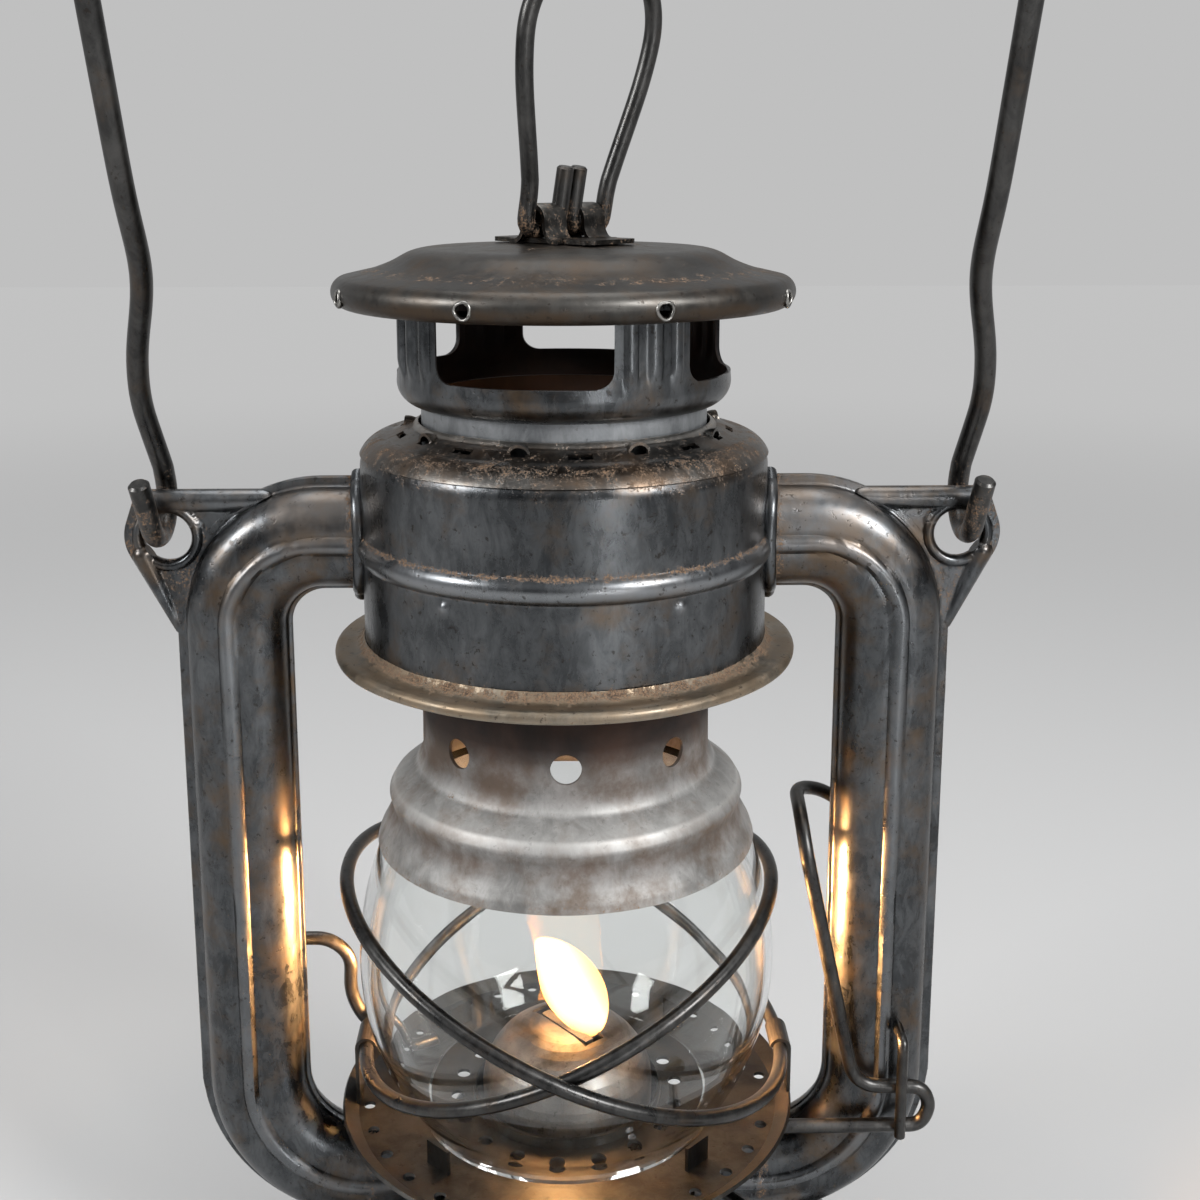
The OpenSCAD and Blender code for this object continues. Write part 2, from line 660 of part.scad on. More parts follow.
// Folded sheet bracket on the crown, with two cheeks curled over the ring's wire
module ring_bracket() {
    cheek = ring_foot_w / 2 - ring_wire_d / 2 - 0.5;
    wall = 0.8;
    eye = ring_wire_d / 2 + ring_play;
    base_z = crown_z + 0.1;
    color(tin) rotate(ring_turn) difference() {
        union() {
            translate([0, 0, base_z + wall / 2]) cube([bracket_l, bracket_w, wall], center = true);
            translate([0, 0, pivot_z]) rotate([90, 0, 90]) linear_extrude(2 * cheek, center = true)
                for (m = [0, 1]) mirror([m, 0]) polygon(skin(concat(
                    [[eye + wall, base_z - pivot_z + wall / 2]], arc([0, 0], eye + wall, 0, 80, 10)), wall));
        }
        translate([0, 0, pivot_z + 1]) cube([2 * ring_wire_d + 1, bracket_w - 1, 2 * ring_wire_d + 1.8],
            center = true);
    }
}

// Half of the ring's path: an end that turns up in the middle, a leg that spreads, and half of the round top
function ring_half() = let (r = ring_wire_d / 2, foot = ring_foot_w / 2, wide = ring_w / 2 - r,
    top = ring_h - r, round_z = top - wide * 1.05)
    concat(softened([[r + 0.12, 0, 11.5], [r + 0.12, 0, 0], [foot, 0, 0], [foot, 0, 6]], 2.4, 5),
        softened([[foot + 0.2, 0, 9], [wide - 0.9, 0, round_z - 6], [wide, 0, round_z + 3]], 6, 4),
        [for (a = [20:10:90]) [wide * cos(a), 0, round_z + (top - round_z) * sin(a)]]);

// Whole path made of one half and its mirror image across the middle
function mirrored(half) = concat(half,
    [for (i = [len(half) - 2:-1:0]) let (p = half[i]) [-p[0], p[1], p[2]]]);

// Ring bent from one wire: both ends run in along the bracket and turn up side by side
module lift_ring() {
    color(dark_wire) rotate(ring_turn) translate([0, 0, pivot_z]) rotate([ring_lean, 0, 0])
        wire(mirrored(ring_half()), ring_wire_d);
}

// Spring that presses the chimney down on the globe
module chimney_spring() {
    turns = 4;
    steps = 20;
    low = bell_top_z + 0.7;
    high = drum_top_z - 1.4;
    r = neck_d / 2 + 2.2;
    color(dark_wire) wire([for (i = [0:turns * steps]) let (u = i / (turns * steps))
        [r * cos(360 * i / steps), r * sin(360 * i / steps), low + (high - low) * u]], 1.2, 6);
}

// Globe
// Radius of an arc that leaves a wall upright and is in by d after h
function bulge_r(d, h) = (d * d + h * h) / (2 * d);

module globe() {
    r = globe_d / 2;
    foot = [globe_foot_d / 2 + 2.4, globe_z + 4.67];
    neck = [globe_mouth_d / 2 + 3.3, bell_edge_z];
    lower = bulge_r(r - foot[0], globe_belly_z - foot[1]);
    upper = bulge_r(r - neck[0], neck[1] - globe_belly_z);
    top_z = globe_z + globe_h;
    color([0.8, 0.88, 0.9, 0.35]) spun(concat([[globe_foot_d / 2, globe_z]],
        arc([r - lower, globe_belly_z], lower, -asin((globe_belly_z - foot[1]) / lower), 0, 10),
        arc([r - upper, globe_belly_z], upper, 2.6, asin((neck[1] - globe_belly_z) / upper), 8),
        [[globe_mouth_d / 2 + 2, top_z - 4.7], [globe_mouth_d / 2, top_z]]), glass);
}

// Globe carrier
module globe_plate() {
    edge = plate_d / 2;
    color(tin) difference() {
        union() {
            spun([[plate_hole_r, plate_z + 3], [plate_hole_r, plate_z], [edge - 3, plate_z],
                [edge, plate_z + 1.8]]);
            around(4, 45) translate([globe_foot_d / 2 + 4, -3, plate_z]) cube([sheet, 6, 5.6]);
            lug(guard_outer_d / 2 * cos(guard_tilt), edge - 0.25, 1);
            lug(guard_inner_d / 2 * cos(guard_tilt), edge - 2.9, -1);
        }
        around(18, 5) translate([plate_hole_r + 4, 0, plate_z - 2]) cylinder(r = 1.5, h = 6, $fn = 16);
        around(30, 6) translate([edge - 5.4, 0, plate_z - 2]) cylinder(r = 1.2, h = 6, $fn = 16);
    }
}

// Strip that rises from the plate at root and curls over a guard ring's lowest point
module lug(x, root, side) {
    eye = guard_wire_d / 2 + 0.1;
    low_z = guard_z - x * tan(guard_tilt);
    mirror([side < 0 ? 1 : 0, 0, 0]) rotate([90, 0, 0]) linear_extrude(8, center = true)
        polygon(skin(concat([[root, plate_z + 0.2]], arc([x, low_z], eye + sheet, 0, 170, 10)), sheet));
}

module guard(d, turn) {
    color(dark_wire) translate([0, 0, guard_z]) rotate([0, turn, 0]) rotate_extrude()
        translate([d / 2, 0]) circle(d = guard_wire_d, $fn = 16);
}
module guard_outer() { guard(guard_outer_d, guard_tilt); }
module guard_inner() { guard(guard_inner_d, -guard_tilt); }

// Handle wire: hooks round the right tube, runs down its front and through the strap to the plate
module lift_handle() {
    y = handle_y;
    inner_x = tube_x - tube_w / 2;
    under = handle_low_z;
    color(dark_wire) wire(softened([[inner_x + 8, -y, handle_top_z - 7], [inner_x + 1, -y, handle_top_z - 2],
        [inner_x - 5, -y * 0.6, handle_top_z], [inner_x - 5.6, y * 0.5, handle_top_z - 1],
        [inner_x - 5, y, handle_top_z - 7], [inner_x + 3.6, y, under + handle_rise + 10],
        [inner_x + 6, y, under + handle_rise], [inner_x + 19.6, y, under + handle_rise - 0.6],
        [inner_x + 21.4, y, under + handle_rise / 2],
        [inner_x + 19.6, y, under], [28, y, under]], 5, 5), handle_wire_d);
}

// Hook on the left that guides the plate along the left tube
module guide_hook() {
    y = -handle_y;
    inner_x = tube_x - tube_w / 2;
    seat = plate_z + sheet + handle_wire_d / 2 + 0.02;
    ring_x = guard_inner_d / 2 * cos(guard_tilt);
    ring_z = guard_z - guard_inner_d / 2 * sin(guard_tilt);
    foot_x = globe_foot_d / 2;
    color(dark_wire) wire(softened([[0.6 - foot_x, y + 6, seat], [-foot_x - 6.4, y + 1, seat],
        [2.5 - ring_x, y, ring_z - 4.7],
        [-ring_x - 2.1, y, ring_z - 1.7], [-ring_x - 4.9, y, ring_z + 4.3], [-ring_x - 4.5, y, seat + 24],
        [-inner_x + 2, y, seat + 28], [-inner_x - 6, y, seat + 28]], 4, 5), handle_wire_d);
}

// Half of the bail's path: hook through the ear, kinked leg, wide round corner and the middle of the grip
function bail_half() = let (foot = bail_foot / 2, leg = bail_w / 2, t = bail_turn_r,
    top = bail_h - bail_wire_d / 2, corner = bail_corner_r)
    concat([[foot + 0.7, -t, bail_stub_h - t]], [for (a = [180:20:360]) [foot, t * cos(a), t * sin(a)]],
        softened([[foot, t, 3], [foot + 2.6, t, 23], [leg, t * 0.6, 46], [leg, 0, 60],
            [leg, 0, top - corner - 4]], 12, 5),
        [for (a = [0:10:80]) [leg - corner + corner * cos(a), 0, top - corner - 2 + corner * sin(a)]],
        [[0, 0, top]]);

// Bail: each end hooks through an ear from behind and turns up in front
module bail() {
    color(dark_wire) translate([0, 0, ear_bar_z]) rotate([bail_lean, 0, 0])
        wire(mirrored(bail_half()), bail_wire_d);
}

// Burner
module burner_turn() {
    rotate(shaft_angle) children();
}

module shaft_bore(d) {
    burner_turn() translate([0, shaft_side, shaft_z]) rotate([0, 90, 0]) cylinder(d = d, h = 90, $fn = 32);
}

module burner_body() {
    color([0.55, 0.47, 0.30]) difference() {
        union() {
            spun([[12, tank_h - 3], [12, chamber_top_z - 6], [gallery_r, chamber_top_z + 0.6],
                [gallery_r, shaft_z + 3.4]]);
            translate([0, 0, tank_h + 3.02]) cylinder(d = burner_foot_d, h = 0.8);
        }
        translate([0, 0, tank_h]) cylinder(r = 12 - sheet, h = 8);
        around(12) translate([0, 0, chamber_top_z - 2.6]) rotate([0, 60, 0])
            cylinder(r = 1.3, h = 30, $fn = 16);
        shaft_bore(shaft_d + 0.12);
    }
}

module burner_cap() {
    r = cap_d / 2;
    color([0.45, 0.45, 0.44]) difference() {
        spun(concat([[r, chamber_top_z + 0.3], [r, burner_top_z - 13]],
            arc([r - 13, burner_top_z - 13], 13, 5, 85, 9), [[1.5, burner_top_z]]));
        burner_turn() translate([0, 0, burner_top_z]) cube([wick_w + 3, wick_t + 3, 8], center = true);
        shaft_bore(shaft_d + 0.8);
    }
}

module wick_tube() {
    wall = 0.5;
    gap = 0.3;
    low = tank_h - 8;
    color([0.55, 0.47, 0.30]) difference() {
        burner_turn() translate([0, 0, (low + wick_top_z - 2) / 2]) difference() {
            cube([wick_w + 2 * (wall + gap), wick_t + 2 * (wall + gap), wick_top_z - 2 - low], center = true);
            cube([wick_w + 2 * gap, wick_t + 2 * gap, 90], center = true);
        }
        burner_turn() for (s = [-1, 1]) translate([s * 3.4, 3, shaft_z]) cube([2.2, 5.6, 8], center = true);
    }
}

module wick() {
    foot = 14;
    color([0.86, 0.82, 0.72]) burner_turn() translate([-wick_w / 2, -wick_t / 2, foot])
        cube([wick_w, wick_t, wick_top_z - foot]);
}

module wick_shaft() {
    color([0.5, 0.5, 0.5]) burner_turn() translate([-6, shaft_side, shaft_z]) rotate([0, 90, 0])
        cylinder(d = shaft_d, h = knob_reach + 5, $fn = 32);
}

// Two toothed wheels that grip the wick
module wick_wheels() {
    wheel_r = shaft_side - wick_t / 2 - 0.15;
    color([0.6, 0.52, 0.32]) burner_turn() for (s = [-1, 1]) translate([s * 3.4 - 0.6, shaft_side, shaft_z])
        rotate([0, 90, 0]) difference() {
            union() {
                cylinder(r = wheel_r - 0.7, h = 1.2, $fn = 32);
                for (k = [0:9]) rotate(36 * k) translate([wheel_r - 1, -0.35, 0]) cube([1, 0.7, 1.2]);
            }
            translate([0, 0, -1]) cylinder(d = shaft_d, h = 4, $fn = 32);
        }
}

// Stamped knob with a rounded, milled rim and a dished face
module wick_knob() {
    rim = knob_d / 2;
    color([0.45, 0.40, 0.30]) burner_turn() translate([knob_reach - 3.4, shaft_side, shaft_z])
        rotate([0, 90, 0]) difference() {
            rotate_extrude() polygon([[shaft_d / 2, 0], [rim - 0.6, 0], [rim, 0.6], [rim, 2.4],
                [rim - 0.6, 3], [rim - 1.6, 3], [rim - 2, 1.4], [2.5, 1.4], [2.5, 3.4],
                [shaft_d / 2, 3.4]]);
            for (k = [0:23]) rotate(15 * k) translate([rim + 0.3, 0, -1]) cylinder(r = 0.6, h = 6, $fn = 16);
        }
}

tank_shell();
tank_bottom();
filler_neck();
filler_cap();
cap_gasket();
tank_collar();
lower_air_chamber();
tube_left_front();
tube_left_rear();
tube_right_front();
tube_right_rear();
tube_collar_left();
tube_collar_right();
air_drum();
drum_top();
drum_floor();
skirt();
guide_strap();
neck();
bell();
canopy();
hood();
ring_bracket();
lift_ring();
chimney_spring();
globe();
globe_plate();
guard_outer();
guard_inner();
lift_handle();
guide_hook();
bail();
burner_body();
burner_cap();
wick_tube();
wick();
wick_shaft();
wick_wheels();
wick_knob();
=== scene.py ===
"""Looks of a small tubular hurricane lantern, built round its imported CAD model.

Sizes are given in millimetres and become metres when a mesh is made. +Z is up and -Y is the front.
"""
import json
import logging
import math
from dataclasses import dataclass, field
from enum import Enum
from typing import Callable, Iterable, Optional, Sequence

import bmesh
import bpy
import numpy as np
from mathutils import Matrix, Vector


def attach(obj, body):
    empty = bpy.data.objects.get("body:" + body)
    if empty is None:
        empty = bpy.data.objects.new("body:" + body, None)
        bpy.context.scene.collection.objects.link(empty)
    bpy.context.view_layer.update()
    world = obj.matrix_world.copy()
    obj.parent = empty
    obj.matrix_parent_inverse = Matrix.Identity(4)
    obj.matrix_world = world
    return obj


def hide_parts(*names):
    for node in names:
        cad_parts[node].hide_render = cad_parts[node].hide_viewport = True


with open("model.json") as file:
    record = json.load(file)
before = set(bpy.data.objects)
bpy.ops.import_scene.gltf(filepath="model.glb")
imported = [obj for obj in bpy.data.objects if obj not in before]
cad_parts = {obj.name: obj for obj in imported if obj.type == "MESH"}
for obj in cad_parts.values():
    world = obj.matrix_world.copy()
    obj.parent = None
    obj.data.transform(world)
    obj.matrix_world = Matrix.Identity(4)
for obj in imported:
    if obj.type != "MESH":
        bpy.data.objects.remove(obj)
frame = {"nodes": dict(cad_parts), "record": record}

LOG = logging.getLogger("lantern")
MM = 0.001
Array = np.ndarray


# Mesh tools


def arc(centre: Sequence[float], radius: float, start: float, end: float, steps: int = 8) -> Array:
    """Points of an arc: centre + radius (cos a, sin a), with a from start to end in degrees.

    Args:
        centre: The arc's centre.
        radius: Its radius.
        start: First angle in degrees.
        end: Last angle in degrees.
        steps: Number of steps between them.

    Returns:
        An array of steps + 1 points.
    """
    angle = np.radians(np.linspace(start, end, steps + 1))
    return np.stack([centre[0] + radius * np.cos(angle), centre[1] + radius * np.sin(angle)], axis=1)


def softened(points: Array, reach: float, steps: int = 6) -> Array:
    """Rounds the inner corners of a path with a quadratic curve a(1-t)^2 + 2pt(1-t) + bt^2.

    Args:
        points: Corners of the path, in two or three dimensions.
        reach: Distance from a corner at which its curve starts.
        steps: Number of steps in each curve.

    Returns:
        The softened path.
    """
    p = np.asarray(points, float)
    t = np.linspace(0.0, 1.0, steps + 1)[:, None]
    rows = [p[:1]]
    for before, corner, after in zip(p[:-2], p[1:-1], p[2:]):
        back, ahead = np.linalg.norm(before - corner), np.linalg.norm(after - corner)
        step = min(reach, back * 0.49, ahead * 0.49)
        a = corner + (before - corner) / back * step
        b = corner + (after - corner) / ahead * step
        rows.append(a * (1 - t) ** 2 + 2 * corner * t * (1 - t) + b * t ** 2)
    rows.append(p[-1:])
    return np.concatenate(rows)


def resampled(points: Array, spacing: float) -> Array:
    """Puts points at an even spacing along a path, by linear steps in its arc length.

    Args:
        points: The path.
        spacing: Largest distance between two new points.

    Returns:
        The evenly spaced path, with the same ends.
    """
    p = np.asarray(points, float)
    length = np.concatenate([[0.0], np.cumsum(np.linalg.norm(np.diff(p, axis=0), axis=1))])
    count = max(2, int(math.ceil(length[-1] / spacing)) + 1)
    wanted = np.linspace(0.0, length[-1], count)
    return np.stack([np.interp(wanted, length, p[:, k]) for k in range(p.shape[1])], axis=1)


def eased(points: Array, width: float, keep: float, spacing: float = 0.8) -> Array:
    """Smooths a path by a weighted moving average, except near its ends.

    Args:
        points: Points of the path.
        width: Half the average's width, in millimetres.
        keep: Length at each end that stays as it is.
        spacing: Distance between the new points.

    Returns:
        The smoothed path's points.
    """
    path = resampled(points, spacing)
    count = int(width / spacing)
    kernel = np.hanning(2 * count + 3)[1:-1]
    padded = np.pad(path, ((count, count), (0, 0)), mode="edge")
    mean = np.stack([np.convolve(padded[:, k], kernel / kernel.sum(), "valid") for k in range(3)], axis=1)
    along = np.arange(len(path)) * spacing
    share = smoothstep(keep, keep + width, np.minimum(along, along[::-1]))[:, None]
    return path * (1 - share) + mean * share


def offset_outline(points: Array, thickness: float) -> Array:
    """Closed outline of a sheet: the outer skin p, then the inner skin p + t m back to the start.

    m is the mitred normal on the left of the path, so the sheet keeps its thickness round corners.

    Args:
        points: Outer skin, as radius and height.
        thickness: Sheet thickness, negative for a sheet on the right of the path.

    Returns:
        The closed outline, without a repeated first point.
    """
    p = np.asarray(points, float)
    step = np.diff(p, axis=0)
    step /= np.linalg.norm(step, axis=1)[:, None]
    left = np.stack([-step[:, 1], step[:, 0]], axis=1)
    a = np.concatenate([left[:1], left])
    b = np.concatenate([left, left[-1:]])
    m = a + b
    m /= np.linalg.norm(m, axis=1)[:, None]
    m /= np.maximum(np.sum(m * a, axis=1), 0.3)[:, None]
    return np.concatenate([p, (p + m * thickness)[::-1]])


def smoothstep(low: float, high: float, value: Array) -> Array:
    """3t^2 - 2t^3 with t = (value - low) / (high - low), held between 0 and 1."""
    t = np.clip((value - low) / (high - low), 0.0, 1.0)
    return t * t * (3.0 - 2.0 * t)


def bump(value: Array, centre: float, width: float) -> Array:
    """Round bump exp(-((value - centre) / width)^2)."""
    return np.exp(-(((value - centre) / width) ** 2))


def grid_faces(rows: int, columns: int, close_rows: bool, close_columns: bool, start: int = 0) -> Array:
    """Quads of a grid of points, numbered row by row.

    Args:
        rows: Number of rows.
        columns: Number of columns.
        close_rows: Whether the last row joins the first.
        close_columns: Whether the last column joins the first.
        start: Number of the grid's first point.

    Returns:
        An array of quads.
    """
    i = np.arange(rows if close_rows else rows - 1)[:, None]
    j = np.arange(columns if close_columns else columns - 1)[None, :]
    i2, j2 = (i + 1) % rows, (j + 1) % columns
    quads = np.stack([i * columns + j, i2 * columns + j, i2 * columns + j2, i * columns + j2], axis=-1)
    return quads.reshape(-1, 4) + start


def new_mesh(name: str, points: Array, faces: Iterable[Sequence[int]]) -> bpy.types.Object:
    """Makes an object from points in millimetres and faces.

    Args:
        name: Name of the object and its mesh.
        points: Vertices, in millimetres.
        faces: Vertex numbers of each face.

    Returns:
        The new object, at the origin.
    """
    mesh = bpy.data.meshes.new(name)
    mesh.from_pydata((np.asarray(points, float).reshape(-1, 3) * MM).tolist(), [], [list(map(int, f)) for f in faces])
    mesh.validate()
    piece = bpy.data.objects.new(name, mesh)
    bpy.context.scene.collection.objects.link(piece)
    return piece


def clean(piece: bpy.types.Object, recalculate: bool = True, sharp: float = 40.0) -> bpy.types.Object:
    """Merges doubled points, turns the faces outwards and shades them smooth below the sharp angle.

    Args:
        piece: Mesh object.
        recalculate: Whether the normals are worked out again.
        sharp: Angle in degrees above which an edge stays sharp.

    Returns:
        The same object.
    """
    work = bmesh.new()
    work.from_mesh(piece.data)
    bmesh.ops.remove_doubles(work, verts=work.verts, dist=1e-6)
    bmesh.ops.dissolve_degenerate(work, edges=work.edges, dist=1e-7)
    if recalculate:
        bmesh.ops.recalc_face_normals(work, faces=work.faces)
    work.to_mesh(piece.data)
    work.free()
    piece.data.shade_smooth()
    piece.data.set_sharp_from_angle(angle=math.radians(sharp))
    return piece


def grid_piece(name: str, grid: Array, close_rows: bool = False, close_columns: bool = False,
               sharp: float = 40.0) -> bpy.types.Object:
    """Makes a clean object from a grid of points with the shape (rows, columns, 3), in millimetres."""
    faces = grid_faces(grid.shape[0], grid.shape[1], close_rows, close_columns)
    return clean(new_mesh(name, grid, faces), sharp=sharp)


def revolved(profile: Array, steps: int = 160, change: Optional[Callable[[Array, Array], Array]] = None) -> Array:
    """Surface of revolution P(a, v) = (r cos a, r sin a, z), with r(v) + change(a, z) as its radius.

    Args:
        profile: Radius and height of each profile point.
        steps: Number of steps round the axis.
        change: Radius to add at an angle and a height, or None.

    Returns:
        A grid with one row for each angle.
    """
    angle = np.linspace(0.0, 2 * math.pi, steps, endpoint=False)[:, None]
    r = np.broadcast_to(profile[None, :, 0], (steps, len(profile)))
    z = np.broadcast_to(profile[None, :, 1], (steps, len(profile)))
    if change is not None:
        r = r + change(np.broadcast_to(angle, r.shape), z) * (r > 0.01)
    return np.stack([r * np.cos(angle), r * np.sin(angle), z], axis=-1)


def spun(name: str, profile: Array, thickness: float, soften: float = 0.0, steps: int = 160,
         change: Optional[Callable[[Array, Array], Array]] = None, sharp: float = 40.0) -> bpy.types.Object:
    """Makes a closed spun sheet from its outer profile.

    Args:
        name: Name of the piece.
        profile: Outer skin, with the metal on the left of the path.
        thickness: Sheet thickness.
        soften: Reach of the curve at each corner.
        steps: Number of steps round the axis.
        change: Radius to add at an angle and a height, or None.
        sharp: Angle in degrees above which an edge stays sharp.

    Returns:
        The new object.
    """
    p = softened(profile, soften, 5) if soften > 0 else np.asarray(profile, float)
    return grid_piece(name, revolved(offset_outline(p, thickness), steps, change), True, True, sharp)


def frames_along(path: Array) -> tuple[Array, Array, Array]:
    """Tangent and two side directions along a path, carried from point to point without twist.

    Args:
        path: Points of the path.

    Returns:
        Arrays of tangents, first sides and second sides.
    """
    step = np.gradient(path, axis=0)
    tangent = step / np.linalg.norm(step, axis=1)[:, None]
    seed = np.array([0.0, 0.0, 1.0]) if abs(tangent[0, 2]) < 0.8 else np.array([1.0, 0.0, 0.0])
    side = np.empty_like(tangent)
    current = seed
    for k, t in enumerate(tangent):
        current = current - np.dot(current, t) * t
        current = current / np.linalg.norm(current)
        side[k] = current
    return tangent, side, np.cross(tangent, side)


def wire(name: str, path: Array, diameter: float, facets: int = 20, spacing: float = 0.8,
         flat: Optional[Callable[[Array], Array]] = None) -> bpy.types.Object:
    """Round wire P(u, a) = path(u) + r(u) (n cos a + b sin a), with slightly rounded ends.

    Args:
        name: Name of the piece.
        path: Points of its centre line, in millimetres.
        diameter: Diameter of the wire.
        facets: Number of sides of the wire.
        spacing: Distance between rings.
        flat: Share of the radius at each ring, or None for an even wire.

    Returns:
        The new object.
    """
    centre = resampled(path, spacing)
    tangent, n, b = frames_along(centre)
    radius = np.full(len(centre), diameter / 2)
    if flat is not None:
        radius = radius * flat(np.linspace(0.0, 1.0, len(centre)))
    edge = diameter * 0.12
    centre = np.concatenate([centre[:1], centre[:1], centre, centre[-1:], centre[-1:]])
    centre[2] += tangent[0] * edge
    centre[-3] -= tangent[-1] * edge
    radius = np.concatenate([[0.0, radius[0] - edge], radius, [radius[-1] - edge, 0.0]])
    n = np.concatenate([n[:1], n[:1], n, n[-1:], n[-1:]])
    b = np.concatenate([b[:1], b[:1], b, b[-1:], b[-1:]])
    angle = np.linspace(0.0, 2 * math.pi, facets, endpoint=False)
    ring = n[:, None, :] * np.cos(angle)[None, :, None] + b[:, None, :] * np.sin(angle)[None, :, None]
    return grid_piece(name, centre[:, None, :] + radius[:, None, None] * ring, False, True)


def paint(piece: bpy.types.Object, name: str, value: Callable[[Array], Array]) -> None:
    """Stores a number at each vertex, worked out from the vertices' places in millimetres.

    Args:
        piece: Mesh object.
        name: Name of the attribute.
        value: Gives the numbers from an array of places.
    """
    count = len(piece.data.vertices)
    place = np.empty(count * 3, np.float32)
    piece.data.vertices.foreach_get("co", place)
    numbers = np.clip(value(place.reshape(-1, 3) / MM), 0.0, 1.0).astype(np.float32)
    layer = piece.data.attributes.get(name) or piece.data.attributes.new(name, "FLOAT", "POINT")
    layer.data.foreach_set("value", numbers)


# Finishes


def inner_side(piece: bpy.types.Object) -> Array:
    """Tells the inner side of a round sheet: 1 where the normal points to the axis or up into the sheet's bowl.

    Args:
        piece: Sheet piece turned round the z axis.

    Returns:
        1 for each vertex on the inner side, and 0 on the outer side.
    """
    mesh = piece.data
    place, normal = (np.empty(3 * len(mesh.vertices), np.float32) for _ in range(2))
    mesh.vertices.foreach_get("co", place)
    mesh.vertices.foreach_get("normal", normal)
    place, normal = place.reshape(-1, 3), normal.reshape(-1, 3)
    out = place[:, :2] / np.maximum(np.linalg.norm(place[:, :2], axis=1), 1e-9)[:, None]
    return (np.sum(out * normal[:, :2], axis=1) < -0.35).astype(float)


class Nodes:
    """Short hand for building one node tree."""

    def __init__(self, tree: bpy.types.NodeTree) -> None:
        """Keeps the tree.

        Args:
            tree: Node tree of a material or a group.
        """
        self.tree = tree

    def add(self, kind: str, **settings: object) -> bpy.types.Node:
        """Adds a node and sets its properties and unlinked inputs.

        Args:
            kind: Node type, such as ShaderNodeMix.
            settings: Properties by name, and inputs by a name that starts with in_.

        Returns:
            The new node.
        """
        node = self.tree.nodes.new(kind)
        for name, value in settings.items():
            if not name.startswith("in_"):
                setattr(node, name, value)
        for name, value in settings.items():
            if name.startswith("in_"):
                key = name[3:]
                node.inputs[int(key) if key.isdigit() else key.replace("_", " ")].default_value = value
        return node

    def link(self, source: bpy.types.NodeSocket, target: bpy.types.NodeSocket) -> None:
        """Links two sockets."""
        self.tree.links.new(source, target)

    def maths(self, operation: str, a: object, b: object = None, clamp: bool = False) -> bpy.types.NodeSocket:
        """Adds a Math node whose inputs are sockets or numbers.

        Args:
            operation: The node's operation.
            a: First socket or number.
            b: Second socket or number, or None.
            clamp: Whether the result is held between 0 and 1.

        Returns:
            The result's socket.
        """
        node = self.add("ShaderNodeMath", operation=operation, use_clamp=clamp)
        for k, value in enumerate((a, b)):
            if isinstance(value, bpy.types.NodeSocket):
                self.link(value, node.inputs[k])
            elif value is not None:
                node.inputs[k].default_value = float(value)
        return node.outputs[0]

    def mix(self, factor: object, a: object, b: object, blend: str = "MIX") -> bpy.types.NodeSocket:
        """Adds a colour Mix node whose inputs are sockets or values.

        Args:
            factor: Share of b.
            a: First colour.
            b: Second colour.
            blend: The node's blend type.

        Returns:
            The result's socket.
        """
        node = self.add("ShaderNodeMix", data_type="RGBA", blend_type=blend)
        for socket, value in ((node.inputs[0], factor), (node.inputs[6], a), (node.inputs[7], b)):
            if isinstance(value, bpy.types.NodeSocket):
                self.link(value, socket)
            elif isinstance(value, (int, float)):
                socket.default_value = float(value)
            else:
                socket.default_value = (*value, 1.0)
        return node.outputs[2]

    def ramp(self, value: bpy.types.NodeSocket, low: float, high: float) -> bpy.types.NodeSocket:
        """Maps a value smoothly from low to high onto 0 to 1.

        Args:
            value: Socket of the value.
            low: Value that gives 0.
            high: Value that gives 1.

        Returns:
            The result's socket.
        """
        node = self.add("ShaderNodeMapRange", interpolation_type="SMOOTHSTEP", clamp=True)
        self.link(value, node.inputs["Value"])
        node.inputs["From Min"].default_value = low
        node.inputs["From Max"].default_value = high
        return node.outputs["Result"]

    def noise(self, vector: bpy.types.NodeSocket, scale: float, detail: float = 4.0,
              roughness: float = 0.55, distortion: float = 0.0) -> bpy.types.NodeSocket:
        """Adds a noise texture in Object space.

        Args:
            vector: Coordinates.
            scale: Noise scale, in repeats per metre.
            detail: Number of octaves.
            roughness: Weight of the finer octaves.
            distortion: Warp of the coordinates.

        Returns:
            The noise value's socket.
        """
        node = self.add("ShaderNodeTexNoise", in_Scale=scale, in_Detail=detail, in_Roughness=roughness,
                        in_Distortion=distortion)
        self.link(vector, node.inputs["Vector"])
        return node.outputs["Fac"]


